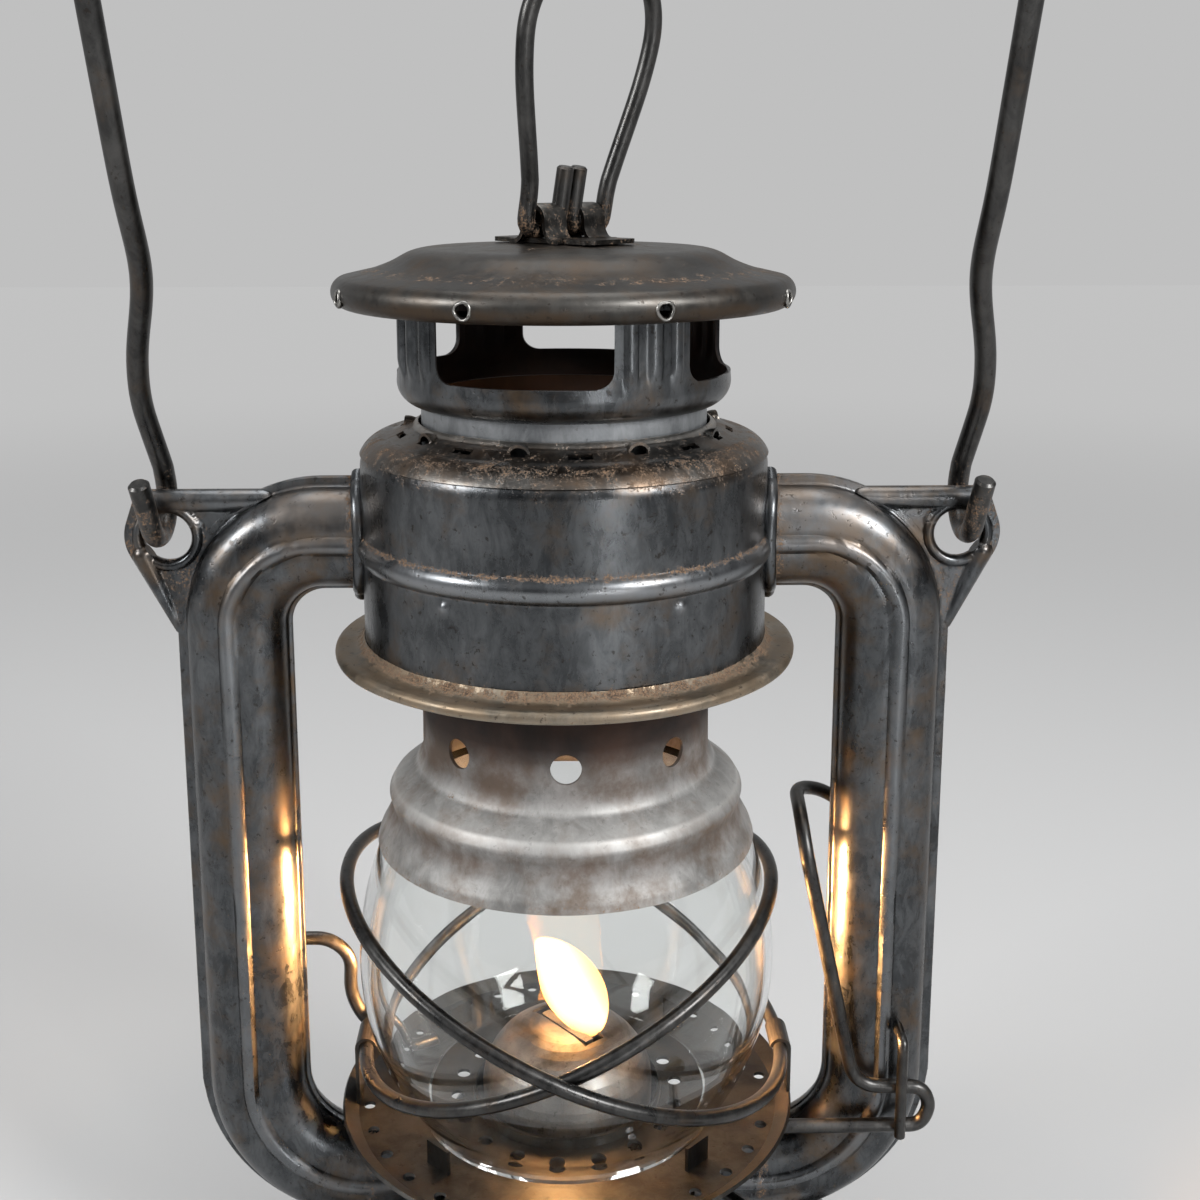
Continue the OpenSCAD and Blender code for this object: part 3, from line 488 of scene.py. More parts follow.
class Groups:
    """Builds the shared node groups once each."""

    made: dict[str, bpy.types.NodeTree] = {}

    @classmethod
    def start(cls, name: str, inputs: Sequence[tuple[str, str, object]],
              outputs: Sequence[tuple[str, str]]) -> tuple[bpy.types.NodeTree, Nodes, bpy.types.Node, bpy.types.Node]:
        """Starts a group with its sockets.

        Args:
            name: Name of the group.
            inputs: Name, socket type and default of each input.
            outputs: Name and socket type of each output.

        Returns:
            The group's tree, a builder for it, and its input and output nodes.
        """
        tree = bpy.data.node_groups.new(name, "ShaderNodeTree")
        for label, kind, default in inputs:
            tree.interface.new_socket(label, in_out="INPUT", socket_type=kind).default_value = default
        for label, kind in outputs:
            tree.interface.new_socket(label, in_out="OUTPUT", socket_type=kind)
        build = Nodes(tree)
        cls.made[name] = tree
        return tree, build, build.add("NodeGroupInput"), build.add("NodeGroupOutput")

    @classmethod
    def weathering(cls) -> bpy.types.NodeTree:
        """Group that gives the masks of old sheet metal: blotches, fine specks, rust and streaks.

        Returns:
            The group's tree.
        """
        if "Weathering" in cls.made:
            return cls.made["Weathering"]
        tree, build, start, end = cls.start(
            "Weathering",
            [("Vector", "NodeSocketVector", (0.0, 0.0, 0.0)), ("Rust", "NodeSocketFloat", 0.0),
             ("Rust Spread", "NodeSocketFloat", 0.0), ("Size", "NodeSocketFloat", 1.0)],
            [("Blotches", "NodeSocketFloat"), ("Specks", "NodeSocketFloat"), ("Rust", "NodeSocketFloat"),
             ("Grain", "NodeSocketFloat"), ("Scuffs", "NodeSocketFloat"), ("Height", "NodeSocketFloat")])
        scaled = build.add("ShaderNodeVectorMath", operation="SCALE")
        build.link(start.outputs["Vector"], scaled.inputs[0])
        build.link(start.outputs["Size"], scaled.inputs["Scale"])
        vector = scaled.outputs[0]
        blotch = build.noise(vector, 55.0, 6.0, 0.62, 0.4)
        fine = build.noise(vector, 560.0, 6.0, 0.7)
        grain = build.noise(vector, 2600.0, 4.0, 0.7)
        specks = build.ramp(build.noise(vector, 700.0, 4.0, 0.7), 0.60, 0.67)
        drawn = build.add("ShaderNodeVectorMath", operation="MULTIPLY")
        build.link(vector, drawn.inputs[0])
        drawn.inputs[1].default_value = (1.0, 1.0, 0.45)
        scuffs = build.noise(drawn.outputs[0], 330.0, 7.0, 0.75, 0.6)
        # Rust grows where the painted amount and the noise add up to more than a threshold.
        edge = build.maths("ADD", start.outputs["Rust"], start.outputs["Rust Spread"])
        broken = build.maths("ADD", build.maths("MULTIPLY", fine, 0.55), build.maths("MULTIPLY", grain, 0.55))
        broken = build.maths("ADD", broken, build.maths("MULTIPLY", build.maths("SUBTRACT", scuffs, 0.5), 0.5))
        rust = build.ramp(build.maths("ADD", build.maths("MULTIPLY", edge, 0.62), broken), 0.78, 0.92)
        height = build.maths("ADD", build.maths("MULTIPLY", rust, build.maths("ADD", grain, 0.3)),
                             build.maths("MULTIPLY", specks, -0.35))
        height = build.maths("ADD", height, build.maths("MULTIPLY", fine, 0.25))
        for name, socket in (("Blotches", blotch), ("Specks", specks), ("Rust", rust), ("Grain", grain),
                             ("Scuffs", scuffs), ("Height", height)):
            build.link(socket, end.inputs[name])
        return tree


class Finish:
    """A material that is built once and then put on pieces."""

    made: dict[str, bpy.types.Material] = {}

    @classmethod
    def start(cls, name: str) -> tuple[bpy.types.Material, Nodes, bpy.types.Node]:
        """Starts an empty node material.

        Args:
            name: Name of the material.

        Returns:
            The material, a builder for its tree and its Principled BSDF.
        """
        material = bpy.data.materials.new(name)
        material.use_nodes = True
        material.node_tree.nodes.clear()
        build = Nodes(material.node_tree)
        shader = build.add("ShaderNodeBsdfPrincipled")
        out = build.add("ShaderNodeOutputMaterial")
        build.link(shader.outputs[0], out.inputs["Surface"])
        return material, build, shader


@dataclass(frozen=True)
class OldMetal:
    """Tarnished sheet metal or wire with rust where the attribute rust says, heat stains, painted highlights and worn
    bright metal, and soot with painted shade.
    """

    name: str
    dark: tuple[float, float, float]
    light: tuple[float, float, float]
    stain: tuple[float, float, float] = (0.16, 0.105, 0.06)
    stain_share: float = 0.35
    rough: float = 0.3
    rough_spread: float = 0.18
    rust_spread: float = 0.0
    metallic: float = 1.0
    relief: float = 0.2
    pits: float = 0.7

    def material(self) -> bpy.types.Material:
        """Builds the material on first use.

        Returns:
            The material.
        """
        if self.name in Finish.made:
            return Finish.made[self.name]
        material, build, shader = Finish.start(self.name)
        coords = build.add("ShaderNodeTexCoord").outputs["Object"]
        group = build.add("ShaderNodeGroup", node_tree=Groups.weathering())
        build.link(coords, group.inputs["Vector"])
        build.link(build.add("ShaderNodeAttribute", attribute_name="rust").outputs["Fac"], group.inputs["Rust"])
        group.inputs["Rust Spread"].default_value = self.rust_spread
        group.inputs["Size"].default_value = 1.0
        masks = group.outputs
        scorch = build.add("ShaderNodeAttribute", attribute_name="scorch").outputs["Fac"]
        wear_and_highlight = build.add("ShaderNodeAttribute", attribute_name="wear_and_highlight").outputs["Fac"]
        soot_and_shade = build.add("ShaderNodeAttribute", attribute_name="soot_and_shade").outputs["Fac"]
        tone = build.maths("ADD", build.maths("MULTIPLY", build.ramp(masks["Blotches"], 0.34, 0.68), 0.5),
                           build.maths("MULTIPLY", build.ramp(masks["Scuffs"], 0.36, 0.66), 0.5), clamp=True)
        base = build.mix(tone, self.dark, self.light)
        stained = build.ramp(build.maths("ADD", build.noise(coords, 95.0, 5.0, 0.65),
                                         build.maths("MULTIPLY", scorch, 0.25)),
                             0.72 - 0.4 * self.stain_share, 0.98 - 0.3 * self.stain_share)
        base = build.mix(build.maths("MULTIPLY", stained, 0.85), base, self.stain)
        # Painted highlights, and worn bright metal, lighten the colour where they are marked.
        base = build.mix(build.maths("MULTIPLY", wear_and_highlight, 0.6), base, tuple(min(1.0, 2.4 * c) for c in self.light))
        base = build.mix(build.maths("MULTIPLY", masks["Specks"], self.pits), base, (0.035, 0.029, 0.025))
        rust_tone = build.mix(build.ramp(masks["Grain"], 0.4, 0.62), (0.040, 0.026, 0.018), (0.205, 0.128, 0.076))
        base = build.mix(masks["Rust"], base, rust_tone)
        # Soot and painted shade turn the colour near black and take away the shine where they are marked.
        soot_and_shade_tone = build.mix(build.ramp(masks["Blotches"], 0.35, 0.7), (0.012, 0.008, 0.007), (0.045, 0.022, 0.014))
        build.link(build.mix(soot_and_shade, base, soot_and_shade_tone), shader.inputs["Base Color"])
        metal = build.maths("SUBTRACT", self.metallic, build.maths("MULTIPLY", masks["Rust"], 0.92), clamp=True)
        metal = build.maths("SUBTRACT", metal, soot_and_shade, clamp=True)
        build.link(metal, shader.inputs["Metallic"])
        rough = build.maths("ADD", self.rough, build.maths("MULTIPLY", build.maths("SUBTRACT", tone, 0.5),
                                                           self.rough_spread))
        rough = build.maths("ADD", rough, build.maths("MULTIPLY", stained, 0.1))
        rough = build.maths("ADD", rough, build.maths("MULTIPLY", masks["Rust"], 0.45))
        rough = build.maths("ADD", rough, build.maths("MULTIPLY", soot_and_shade, 0.5), clamp=True)
        build.link(rough, shader.inputs["Roughness"])
        relief = build.add("ShaderNodeBump", in_Strength=self.relief, in_Distance=0.0004)
        build.link(masks["Height"], relief.inputs["Height"])
        build.link(relief.outputs["Normal"], shader.inputs["Normal"])
        Finish.made[self.name] = material
        return material


@dataclass(frozen=True)
class ClearGlass:
    """Clear pressed glass with a faint film and slow waves."""

    name: str
    tint: tuple[float, float, float] = (0.97, 0.985, 0.98)
    rough: float = 0.0
    wave: float = 0.22

    def material(self) -> bpy.types.Material:
        """Builds the material on first use.

        Returns:
            The material.
        """
        if self.name in Finish.made:
            return Finish.made[self.name]
        material, build, shader = Finish.start(self.name)
        coords = build.add("ShaderNodeTexCoord").outputs["Object"]
        shader.inputs["Transmission Weight"].default_value = 1.0
        shader.inputs["IOR"].default_value = 1.48
        film = build.ramp(build.noise(coords, 60.0, 5.0, 0.6), 0.5, 0.8)
        build.link(build.mix(film, self.tint, (0.90, 0.90, 0.87)), shader.inputs["Base Color"])
        build.link(build.maths("MULTIPLY", film, 0.05), shader.inputs["Roughness"])
        waves = build.noise(coords, 38.0, 1.0, 0.4)
        relief = build.add("ShaderNodeBump", in_Strength=self.wave, in_Distance=0.002)
        build.link(waves, relief.inputs["Height"])
        build.link(relief.outputs["Normal"], shader.inputs["Normal"])
        # Light passes straight through for shadows, so that the flame lights the tubes.
        out = next(n for n in build.tree.nodes if n.type == "OUTPUT_MATERIAL")
        clear = build.add("ShaderNodeBsdfTransparent", in_Color=(0.93, 0.94, 0.93, 1.0))
        blend = build.add("ShaderNodeMixShader")
        path = build.add("ShaderNodeLightPath")
        through = build.maths("MAXIMUM", path.outputs["Is Shadow Ray"], path.outputs["Is Diffuse Ray"])
        build.link(through, blend.inputs[0])
        build.link(shader.outputs[0], blend.inputs[1])
        build.link(clear.outputs[0], blend.inputs[2])
        build.link(blend.outputs[0], out.inputs["Surface"])
        Finish.made[self.name] = material
        return material


@dataclass(frozen=True)
class Cotton:
    """Woven cotton wick, charred towards its top."""

    name: str
    top: float = 0.078

    def material(self) -> bpy.types.Material:
        """Builds the material on first use.

        Returns:
            The material.
        """
        if self.name in Finish.made:
            return Finish.made[self.name]
        material, build, shader = Finish.start(self.name)
        coords = build.add("ShaderNodeTexCoord").outputs["Object"]
        weave = build.add("ShaderNodeTexWave", wave_type="BANDS", bands_direction="Z", in_Scale=260.0,
                          in_Distortion=2.0)
        build.link(coords, weave.inputs["Vector"])
        split = build.add("ShaderNodeSeparateXYZ")
        build.link(coords, split.inputs[0])
        char = build.ramp(split.outputs["Z"], self.top - 0.004, self.top - 0.0005)
        thread = build.mix(weave.outputs["Fac"], (0.62, 0.56, 0.44), (0.80, 0.75, 0.63))
        build.link(build.mix(char, thread, (0.02, 0.017, 0.015)), shader.inputs["Base Color"])
        shader.inputs["Roughness"].default_value = 0.95
        relief = build.add("ShaderNodeBump", in_Strength=0.5, in_Distance=0.0005)
        build.link(weave.outputs["Fac"], relief.inputs["Height"])
        build.link(relief.outputs["Normal"], shader.inputs["Normal"])
        Finish.made[self.name] = material
        return material


@dataclass(frozen=True)
class Fire:
    """Light of the flame: pale in its middle, orange towards its edge, clear at its foot."""

    name: str
    strength: float = 1.7
    foot: float = 0.0766
    height: float = 0.0185

    def material(self) -> bpy.types.Material:
        """Builds the material on first use.

        Returns:
            The material.
        """
        if self.name in Finish.made:
            return Finish.made[self.name]
        material, build, shader = Finish.start(self.name)
        coords = build.add("ShaderNodeTexCoord").outputs["Object"]
        split = build.add("ShaderNodeSeparateXYZ")
        build.link(coords, split.inputs[0])
        up = build.maths("DIVIDE", build.maths("SUBTRACT", split.outputs["Z"], self.foot), self.height)
        core = build.add("ShaderNodeAttribute", attribute_name="core").outputs["Fac"]
        colour = build.mix(build.ramp(core, 0.0, 0.45), (1.0, 0.50, 0.13), (1.0, 0.84, 0.52))
        colour = build.mix(build.ramp(up, 0.35, 0.0), colour, (1.0, 0.62, 0.22))
        facing = build.add("ShaderNodeLayerWeight").outputs["Facing"]
        colour = build.mix(build.ramp(facing, 0.25, 0.85), colour, (1.0, 0.46, 0.12))
        build.link(colour, shader.inputs["Emission Color"])
        shader.inputs["Emission Strength"].default_value = self.strength
        shader.inputs["Base Color"].default_value = (1.0, 0.7, 0.35, 1.0)
        # The flame fades towards its outline and its foot.
        solid = build.maths("MULTIPLY", build.ramp(facing, 0.92, 0.25), build.ramp(up, -0.02, 0.10))
        build.link(solid, shader.inputs["Alpha"])
        shader.inputs["Roughness"].default_value = 1.0
        Finish.made[self.name] = material
        return material


class Metals(Enum):
    """The metal finishes of the lantern."""

    DARK_TIN = OldMetal("dark_tin", (0.043, 0.046, 0.049), (0.134, 0.140, 0.146), stain=(0.125, 0.086, 0.054),
                        rough=0.30, rough_spread=0.16, stain_share=0.52)
    BROWN_TIN = OldMetal("brown_tin", (0.034, 0.032, 0.030), (0.078, 0.075, 0.070), stain=(0.078, 0.054, 0.036),
                         stain_share=0.6, rough=0.40)
    RUSTY_TIN = OldMetal("rusty_tin", (0.092, 0.082, 0.066), (0.310, 0.277, 0.226), stain=(0.23, 0.172, 0.115),
                         stain_share=0.6, rough=0.38, metallic=0.9, rust_spread=0.06, relief=0.22)
    PLATE_TIN = OldMetal("plate_tin", (0.070, 0.067, 0.063), (0.215, 0.206, 0.192), stain=(0.15, 0.10, 0.065),
                         stain_share=0.6, rough=0.34, rust_spread=0.06, relief=0.24)
    FOUNT_TIN = OldMetal("fount_tin", (0.07, 0.073, 0.078), (0.17, 0.175, 0.18))
    ZINC = OldMetal("zinc", (0.17, 0.167, 0.16), (0.375, 0.370, 0.359), stain=(0.115, 0.072, 0.043), rough=0.5,
                    stain_share=0.6, metallic=0.55, pits=0.2, relief=0.12)
    WIRE = OldMetal("wire", (0.034, 0.034, 0.034), (0.094, 0.092, 0.089), stain=(0.10, 0.072, 0.05), rough=0.34,
                    stain_share=0.5)
    BRASS = OldMetal("burner_brass", (0.20, 0.15, 0.07), (0.36, 0.28, 0.14), stain=(0.09, 0.06, 0.035), rough=0.38)
    BURNER_STEEL = OldMetal("burner_steel", (0.07, 0.066, 0.063), (0.17, 0.16, 0.15), stain_share=0.6, rough=0.42)
    NECK_ZINC = OldMetal("neck_zinc", (0.135, 0.143, 0.151), (0.285, 0.297, 0.308), stain=(0.24, 0.18, 0.12),
                         rough=0.45, stain_share=0.3, metallic=0.65, pits=0.3)
    WORN_EDGE = OldMetal("worn_edge", (0.18, 0.175, 0.165), (0.38, 0.37, 0.35), rough=0.36, stain_share=0.3)
    CORK = OldMetal("cork", (0.16, 0.10, 0.05), (0.27, 0.18, 0.10), metallic=0.0, rough=0.8)


GLASS = ClearGlass("globe_glass")
COTTON = Cotton("cotton")
FLAME = Fire("flame")
SLOTS = {
    "dark_tin": Metals.DARK_TIN.value, "brown_tin": Metals.BROWN_TIN.value, "fount_tin": Metals.FOUNT_TIN.value,
    "zinc": Metals.ZINC.value, "wire": Metals.WIRE.value, "burner_brass": Metals.BRASS.value,
    "burner_steel": Metals.BURNER_STEEL.value, "cork": Metals.CORK.value, "globe_glass": GLASS, "cotton": COTTON,
}
SPECIAL = {
    "neck_zinc": (Metals.NECK_ZINC.value, "zinc"), "worn_edge": (Metals.WORN_EDGE.value, "brown_tin"),
    "rusty_tin": (Metals.RUSTY_TIN.value, "brown_tin"), "plate_tin": (Metals.PLATE_TIN.value, "brown_tin"),
}


# Studio


@dataclass
class Studio:
    """Floor, lamps, world and camera. Nothing here is part of the lantern."""

    floor_half: float = 3.0
    camera_height: float = 0.2513
    camera_distance: float = 0.286
    orbit: float = 0.0
    lens_px: float = 1525.0
    frame_px: float = 1200.0
    horizon_px: float = 167.0
    centre_px: float = 564.0
    shift_y: float = -0.11
    backdrop: tuple[float, float, float] = (0.527, 0.527, 0.527)
    dark_side: tuple[float, float, float] = (0.085, 0.085, 0.09)
    bright_sides: tuple[tuple[tuple[float, float, float], float, float, tuple[float, float, float]], ...] = (
        ((0.0, 1.0, 0.15), 0.1, 0.8, (0.42, 0.42, 0.42)),
        ((-0.7, -0.3, 0.65), 0.6, 0.98, (0.36, 0.37, 0.38)),
        ((0.35, -0.4, 0.85), 0.4, 0.97, (0.75, 0.755, 0.76)),
    )

    def floor(self) -> None:
        """Makes the pale floor."""
        bpy.ops.mesh.primitive_plane_add(size=2 * self.floor_half)
        floor = bpy.context.object
        floor.name = "floor"
        material, build, shader = Finish.start("pale_floor")
        shader.inputs["Roughness"].default_value = 0.9
        coords = build.add("ShaderNodeTexCoord").outputs["Object"]
        length = build.add("ShaderNodeVectorMath", operation="LENGTH")
        build.link(coords, length.inputs[0])
        far = build.ramp(length.outputs["Value"], 0.25, 1.5)
        build.link(build.mix(far, (0.45, 0.45, 0.45), (0.0, 0.0, 0.0)), shader.inputs["Base Color"])
        build.link(build.mix(far, (0.0, 0.0, 0.0), self.backdrop), shader.inputs["Emission Color"])
        shader.inputs["Emission Strength"].default_value = 1.0
        build.link(build.mix(far, (0.5, 0.5, 0.5), (0.0, 0.0, 0.0)), shader.inputs["Specular Tint"])
        floor.data.materials.append(material)

    def world(self) -> None:
        """Makes the surround: pale behind the lantern, darker in front, and brighter where windows would be."""
        world = bpy.data.worlds.new("surround")
        bpy.context.scene.world = world
        world.use_nodes = True
        build = Nodes(world.node_tree)
        back = world.node_tree.nodes["Background"]
        path = build.add("ShaderNodeLightPath")
        seen = build.maths("MAXIMUM", path.outputs["Is Camera Ray"], path.outputs["Is Transmission Ray"])
        way = build.add("ShaderNodeTexCoord").outputs["Generated"]
        room = self.dark_side
        for aim, low, high, colour in self.bright_sides:
            toward = build.add("ShaderNodeVectorMath", operation="DOT_PRODUCT")
            build.link(way, toward.inputs[0])
            toward.inputs[1].default_value = Vector(aim).normalized()
            room = build.mix(build.ramp(toward.outputs["Value"], low, high), room, colour)
        build.link(build.mix(seen, room, self.backdrop), back.inputs["Color"])
        back.inputs["Strength"].default_value = 1.0

    def lamp(self, name: str, place: Sequence[float], aim: Sequence[float], size: float, power: float,
             colour: Sequence[float] = (1.0, 1.0, 1.0)) -> None:
        """Adds a square area lamp.

        Args:
            name: Name of the lamp.
            place: Where it stands, in metres.
            aim: What it points at.
            size: Its side, in metres.
            power: Its power, in watts.
            colour: Its colour.
        """
        data = bpy.data.lights.new(name, "AREA")
        data.energy, data.size, data.color = power, size, colour
        lamp = bpy.data.objects.new(name, data)
        lamp.location = place
        lamp.rotation_euler = (Vector(aim) - Vector(place)).to_track_quat("-Z", "Y").to_euler()
        lamp.visible_camera = False
        data.cycles.use_multiple_importance_sampling = name != "low"
        bpy.context.scene.collection.objects.link(lamp)

    def camera(self) -> None:
        """Places the camera where the photograph was taken from.

        The pitch p and the shift s give the photo's horizon: (s + 0.5) F - f tan p = horizon.
        """
        data = bpy.data.cameras.new("camera")
        data.lens = self.lens_px / self.frame_px * 36.0
        data.sensor_width = 36.0
        data.shift_y = self.shift_y
        data.clip_start, data.clip_end = 0.01, 20.0
        camera = bpy.data.objects.new("camera", data)
        turn = math.radians(self.orbit)
        camera.location = (self.camera_distance * math.sin(turn), -self.camera_distance * math.cos(turn),
                           self.camera_height)
        principal = (0.5 + self.shift_y) * self.frame_px
        pitch = math.atan2(principal - self.horizon_px, self.lens_px)
        yaw = math.atan2(self.frame_px / 2 - self.centre_px, self.lens_px)
        camera.rotation_euler = (math.pi / 2 - pitch, 0.0, turn - yaw)
        bpy.context.scene.collection.objects.link(camera)
        bpy.context.scene.camera = camera

    def build(self) -> None:
        """Makes the whole studio."""
        self.camera()
        self.floor()
        self.world()
        self.lamp("key", (0.75, -0.75, 0.75), (0, 0, 0.15), 0.34, 12.5)
        self.lamp("fill", (-0.9, -0.45, 0.65), (0, 0, 0.15), 0.3, 7.5)
        self.lamp("top", (0.0, 0.15, 1.1), (0, 0, 0.2), 0.7, 5.5)
        self.lamp("low", (0.33, -0.78, 0.12), (0, 0, 0.17), 0.24, 0.8)
        glow = bpy.data.lights.new("glow", "POINT")
        glow.energy, glow.color, glow.shadow_soft_size = 0.34, (1.0, 0.52, 0.2), 0.006
        # The glass shows the flame alone, and not the lamp in it.
        glow.cycles.use_multiple_importance_sampling = False
        lamp = bpy.data.objects.new("glow", glow)
        lamp.location = (0.0, 0.0, 0.088)
        bpy.context.scene.collection.objects.link(lamp)
        # The flame's broad sides light the tubes.
        for side in (-1, 1):
            data = bpy.data.lights.new(f"flame_side_{side}", "AREA")
            data.shape, data.size, data.size_y, data.spread = "RECTANGLE", 0.010, 0.024, math.radians(76)
            data.energy, data.color = 0.24, (1.0, 0.50, 0.19)
            data.cycles.use_multiple_importance_sampling = False
            lamp = bpy.data.objects.new(f"flame_side_{side}", data)
            lamp.location, lamp.rotation_euler = (0.008 * side, 0.0, 0.092), (0.0, -math.pi / 2 * side, 0.0)
            lamp.visible_camera = lamp.visible_transmission = False
            bpy.context.scene.collection.objects.link(lamp)
        view = bpy.context.scene.view_settings
        view.view_transform = "Standard"


def dress_frame() -> None:
    """Puts each CAD node's finish on it, from its material slot in the record."""
    for part in frame["record"]["subparts"]:
        node = frame["nodes"][part["node"]]
        node.data.materials.clear()
        node.data.materials.append(SLOTS[part["material_slot"]].material())


# Pieces


def join(name: str, parts: Sequence[bpy.types.Object]) -> bpy.types.Object:
    """Joins several meshes at the origin into one object, without merging their points.

    Args:
        name: Name of the joined object.
        parts: Objects to join, which are removed.

    Returns:
        The joined object.
    """
    work = bmesh.new()
    for part in parts:
        work.from_mesh(part.data)
    mesh = bpy.data.meshes.new(name)
    work.to_mesh(mesh)
    work.free()
    for part in parts:
        old = part.data
        bpy.data.objects.remove(part)
        bpy.data.meshes.remove(old)
    mesh.shade_smooth()
    mesh.set_sharp_from_angle(angle=math.radians(40))
    piece = bpy.data.objects.new(name, mesh)
    bpy.context.scene.collection.objects.link(piece)
    return piece


def install(piece: bpy.types.Object, body: str, slot: str, replaced: Sequence[str] = ()) -> bpy.types.Object:
    """Gives a piece the finish of its slot, puts it on its body, and hides the nodes that it stands for.

    Args:
        piece: The finished piece.
        body: CAD body that it rides on.
        slot: Material slot in the record, or a special finish of one of those slots.
        replaced: CAD nodes that it replaces.

    Returns:
        The same piece.
    """
    finish, slot = SPECIAL.get(slot, (SLOTS.get(slot), slot))
    piece.data.materials.clear()
    piece.data.materials.append(finish.material())
    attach(piece, body)
    if replaced:
        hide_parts(*replaced)
    LOG.info("%s: %d faces on %s, finish %s", piece.name, len(piece.data.polygons), body, slot)
    return piece


@dataclass
class AirTubes:
    """The four tube pressings with their bail ears, and the collars at the drum."""

    width: float = 23.2
    depth: float = 15.0
    seam_w: float = 2.0
    seam_t: float = 0.6
    sheet: float = 0.7
    x: float = 63.4
    upper_z: float = 182.0
    lower_z: float = 45.9
    upper_r: float = 17.2
    lower_r: float = 23.6
    arm_start: float = 39.1
    foot_end: float = 26.1
    drum_r: float = 38.6
    bead_w: float = 1.5
    bead_h: float = 1.0
    inner_seam: float = 0.9
    ear: tuple[float, float] = (76.0, 181.9)
    ear_r: float = 8.3
    hole_r: float = 4.6
    bar_z: float = 188.9
    bar_r: float = 2.2

    def centre_line(self) -> tuple[Array, Array]:
        """Centre line of the right tube in the plane (x, z), from the drum to the lower chamber.

        Returns:
            Points, and the outward side direction at each point.
        """
        upper = np.array([self.x - self.upper_r, self.upper_z - self.upper_r])
        lower = np.array([self.x - self.lower_r, self.lower_z + self.lower_r])
        arm = np.stack([np.linspace(self.arm_start, upper[0], 9)[:-1], np.full(8, self.upper_z)], axis=1)
        top = arc(upper, self.upper_r, 90, 0, 26)
        upright = np.stack([np.full(46, self.x), np.linspace(upper[1], lower[1], 47)[1:]], axis=1)
        low = arc(lower, self.lower_r, 0, -90, 26)[1:]
        foot = np.stack([np.linspace(lower[0], self.foot_end, 10)[1:], np.full(9, self.lower_z)], axis=1)
        points = np.concatenate([arm, top, upright, low, foot])
        step = np.gradient(points, axis=0)
        step /= np.linalg.norm(step, axis=1)[:, None]
        return points, np.stack([-step[:, 1], step[:, 0]], axis=1)

    def section(self, bead: float, crimp_out: float, crimp_in: float) -> Array:
        """Closed section of one pressing at one place, as distance outwards and height.

        The body is the superellipse (a |cos t|^0.77, b |sin t|^0.77), with a round bead on it.

        Args:
            bead: Distance of the bead from the centre line.
            crimp_out: Height of a crimp on the outer flange.
            crimp_in: Height of a crimp on the inner flange.

        Returns:
            The closed section.
        """
        half, a, b = self.width / 2, self.width / 2 - self.seam_w, self.depth / 2
        t = np.radians(np.linspace(7, 173, 60))
        q = a * np.sign(np.cos(t)) * np.abs(np.cos(t)) ** 0.77
        h = b * np.sin(t) ** 0.77
        h = h + self.bead_h * np.sqrt(np.clip(1 - ((q - bead) / self.bead_w) ** 2, 0, 1))
        h = h - 0.14 * (bump(q, bead - 1.75, 0.5) + bump(q, bead + 1.75, 0.5))
        flange = self.seam_t
        outer = [[half, 0.0], [half, flange * 0.6 + crimp_out], [half - 0.25, flange + crimp_out],
                 [half - 1.2, flange + crimp_out * 1.1], [a + 0.35, flange + 0.05 + crimp_out * 0.4],
                 [a + 0.02, flange + 0.35]]
        low = a + self.inner_seam
        inner = [[-a - 0.02, flange + 0.35], [-a - 0.3, flange + 0.05 + crimp_in * 0.4],
                 [-low + 0.3, flange + crimp_in * 1.1], [-low + 0.1, flange * 0.9 + crimp_in],
                 [-low, flange * 0.6 + crimp_in], [-low, 0.0]]
        s = np.radians(np.linspace(180, 0, 19))
        inside = np.stack([(a - self.sheet) * np.sign(np.cos(s)) * np.abs(np.cos(s)) ** 0.77,
                           (b - self.sheet) * np.abs(np.sin(s)) ** 0.77], axis=1)
        return np.concatenate([outer, np.stack([q, h], axis=1), inner, inside])

    def pressing(self, name: str, side: int, face: int) -> bpy.types.Object:
        """One pressing: the section carried along the centre line, P = c + q n + h f y.

        Args:
            name: Name of the piece.
            side: -1 for the left tube and 1 for the right one.
            face: -1 for the front pressing and 1 for the rear one.

        Returns:
            The new object.
        """
        line, out = self.centre_line()
        length = np.concatenate([[0.0], np.cumsum(np.linalg.norm(np.diff(line, axis=0), axis=1))])
        share = length / length[-1]
        bead = np.interp(share, [0.0, 0.05, 0.17, 0.3, 0.7, 0.85, 1.0], [-0.6, -0.5, 0.9, 0.5, 0.3, -0.2, -0.4])
        height = line[:, 1]
        upright = (np.abs(line[:, 0] - self.x) < 0.5).astype(float)
        crimp_out = 0.35 * upright * (bump(height, 149.5, 1.1) + bump(height, 68.5, 1.1))
        crimp_in = 0.35 * upright * bump(height, 107.0 if side > 0 else 118.0, 1.2)
        sections = np.stack([self.section(b, o, i) for b, o, i in zip(bead, crimp_out, crimp_in)])
        q, h = sections[..., 0], sections[..., 1]
        grid = np.stack([side * (line[:, None, 0] + q * out[:, None, 0]), face * h,
                         line[:, None, 1] + q * out[:, None, 1]], axis=-1)
        rows, columns = grid.shape[:2]
        faces = grid_faces(rows, columns, False, True).tolist()
        faces += [list(range(columns)), list(range((rows - 1) * columns, rows * columns))]
        return clean(new_mesh(name, grid, faces), sharp=50)

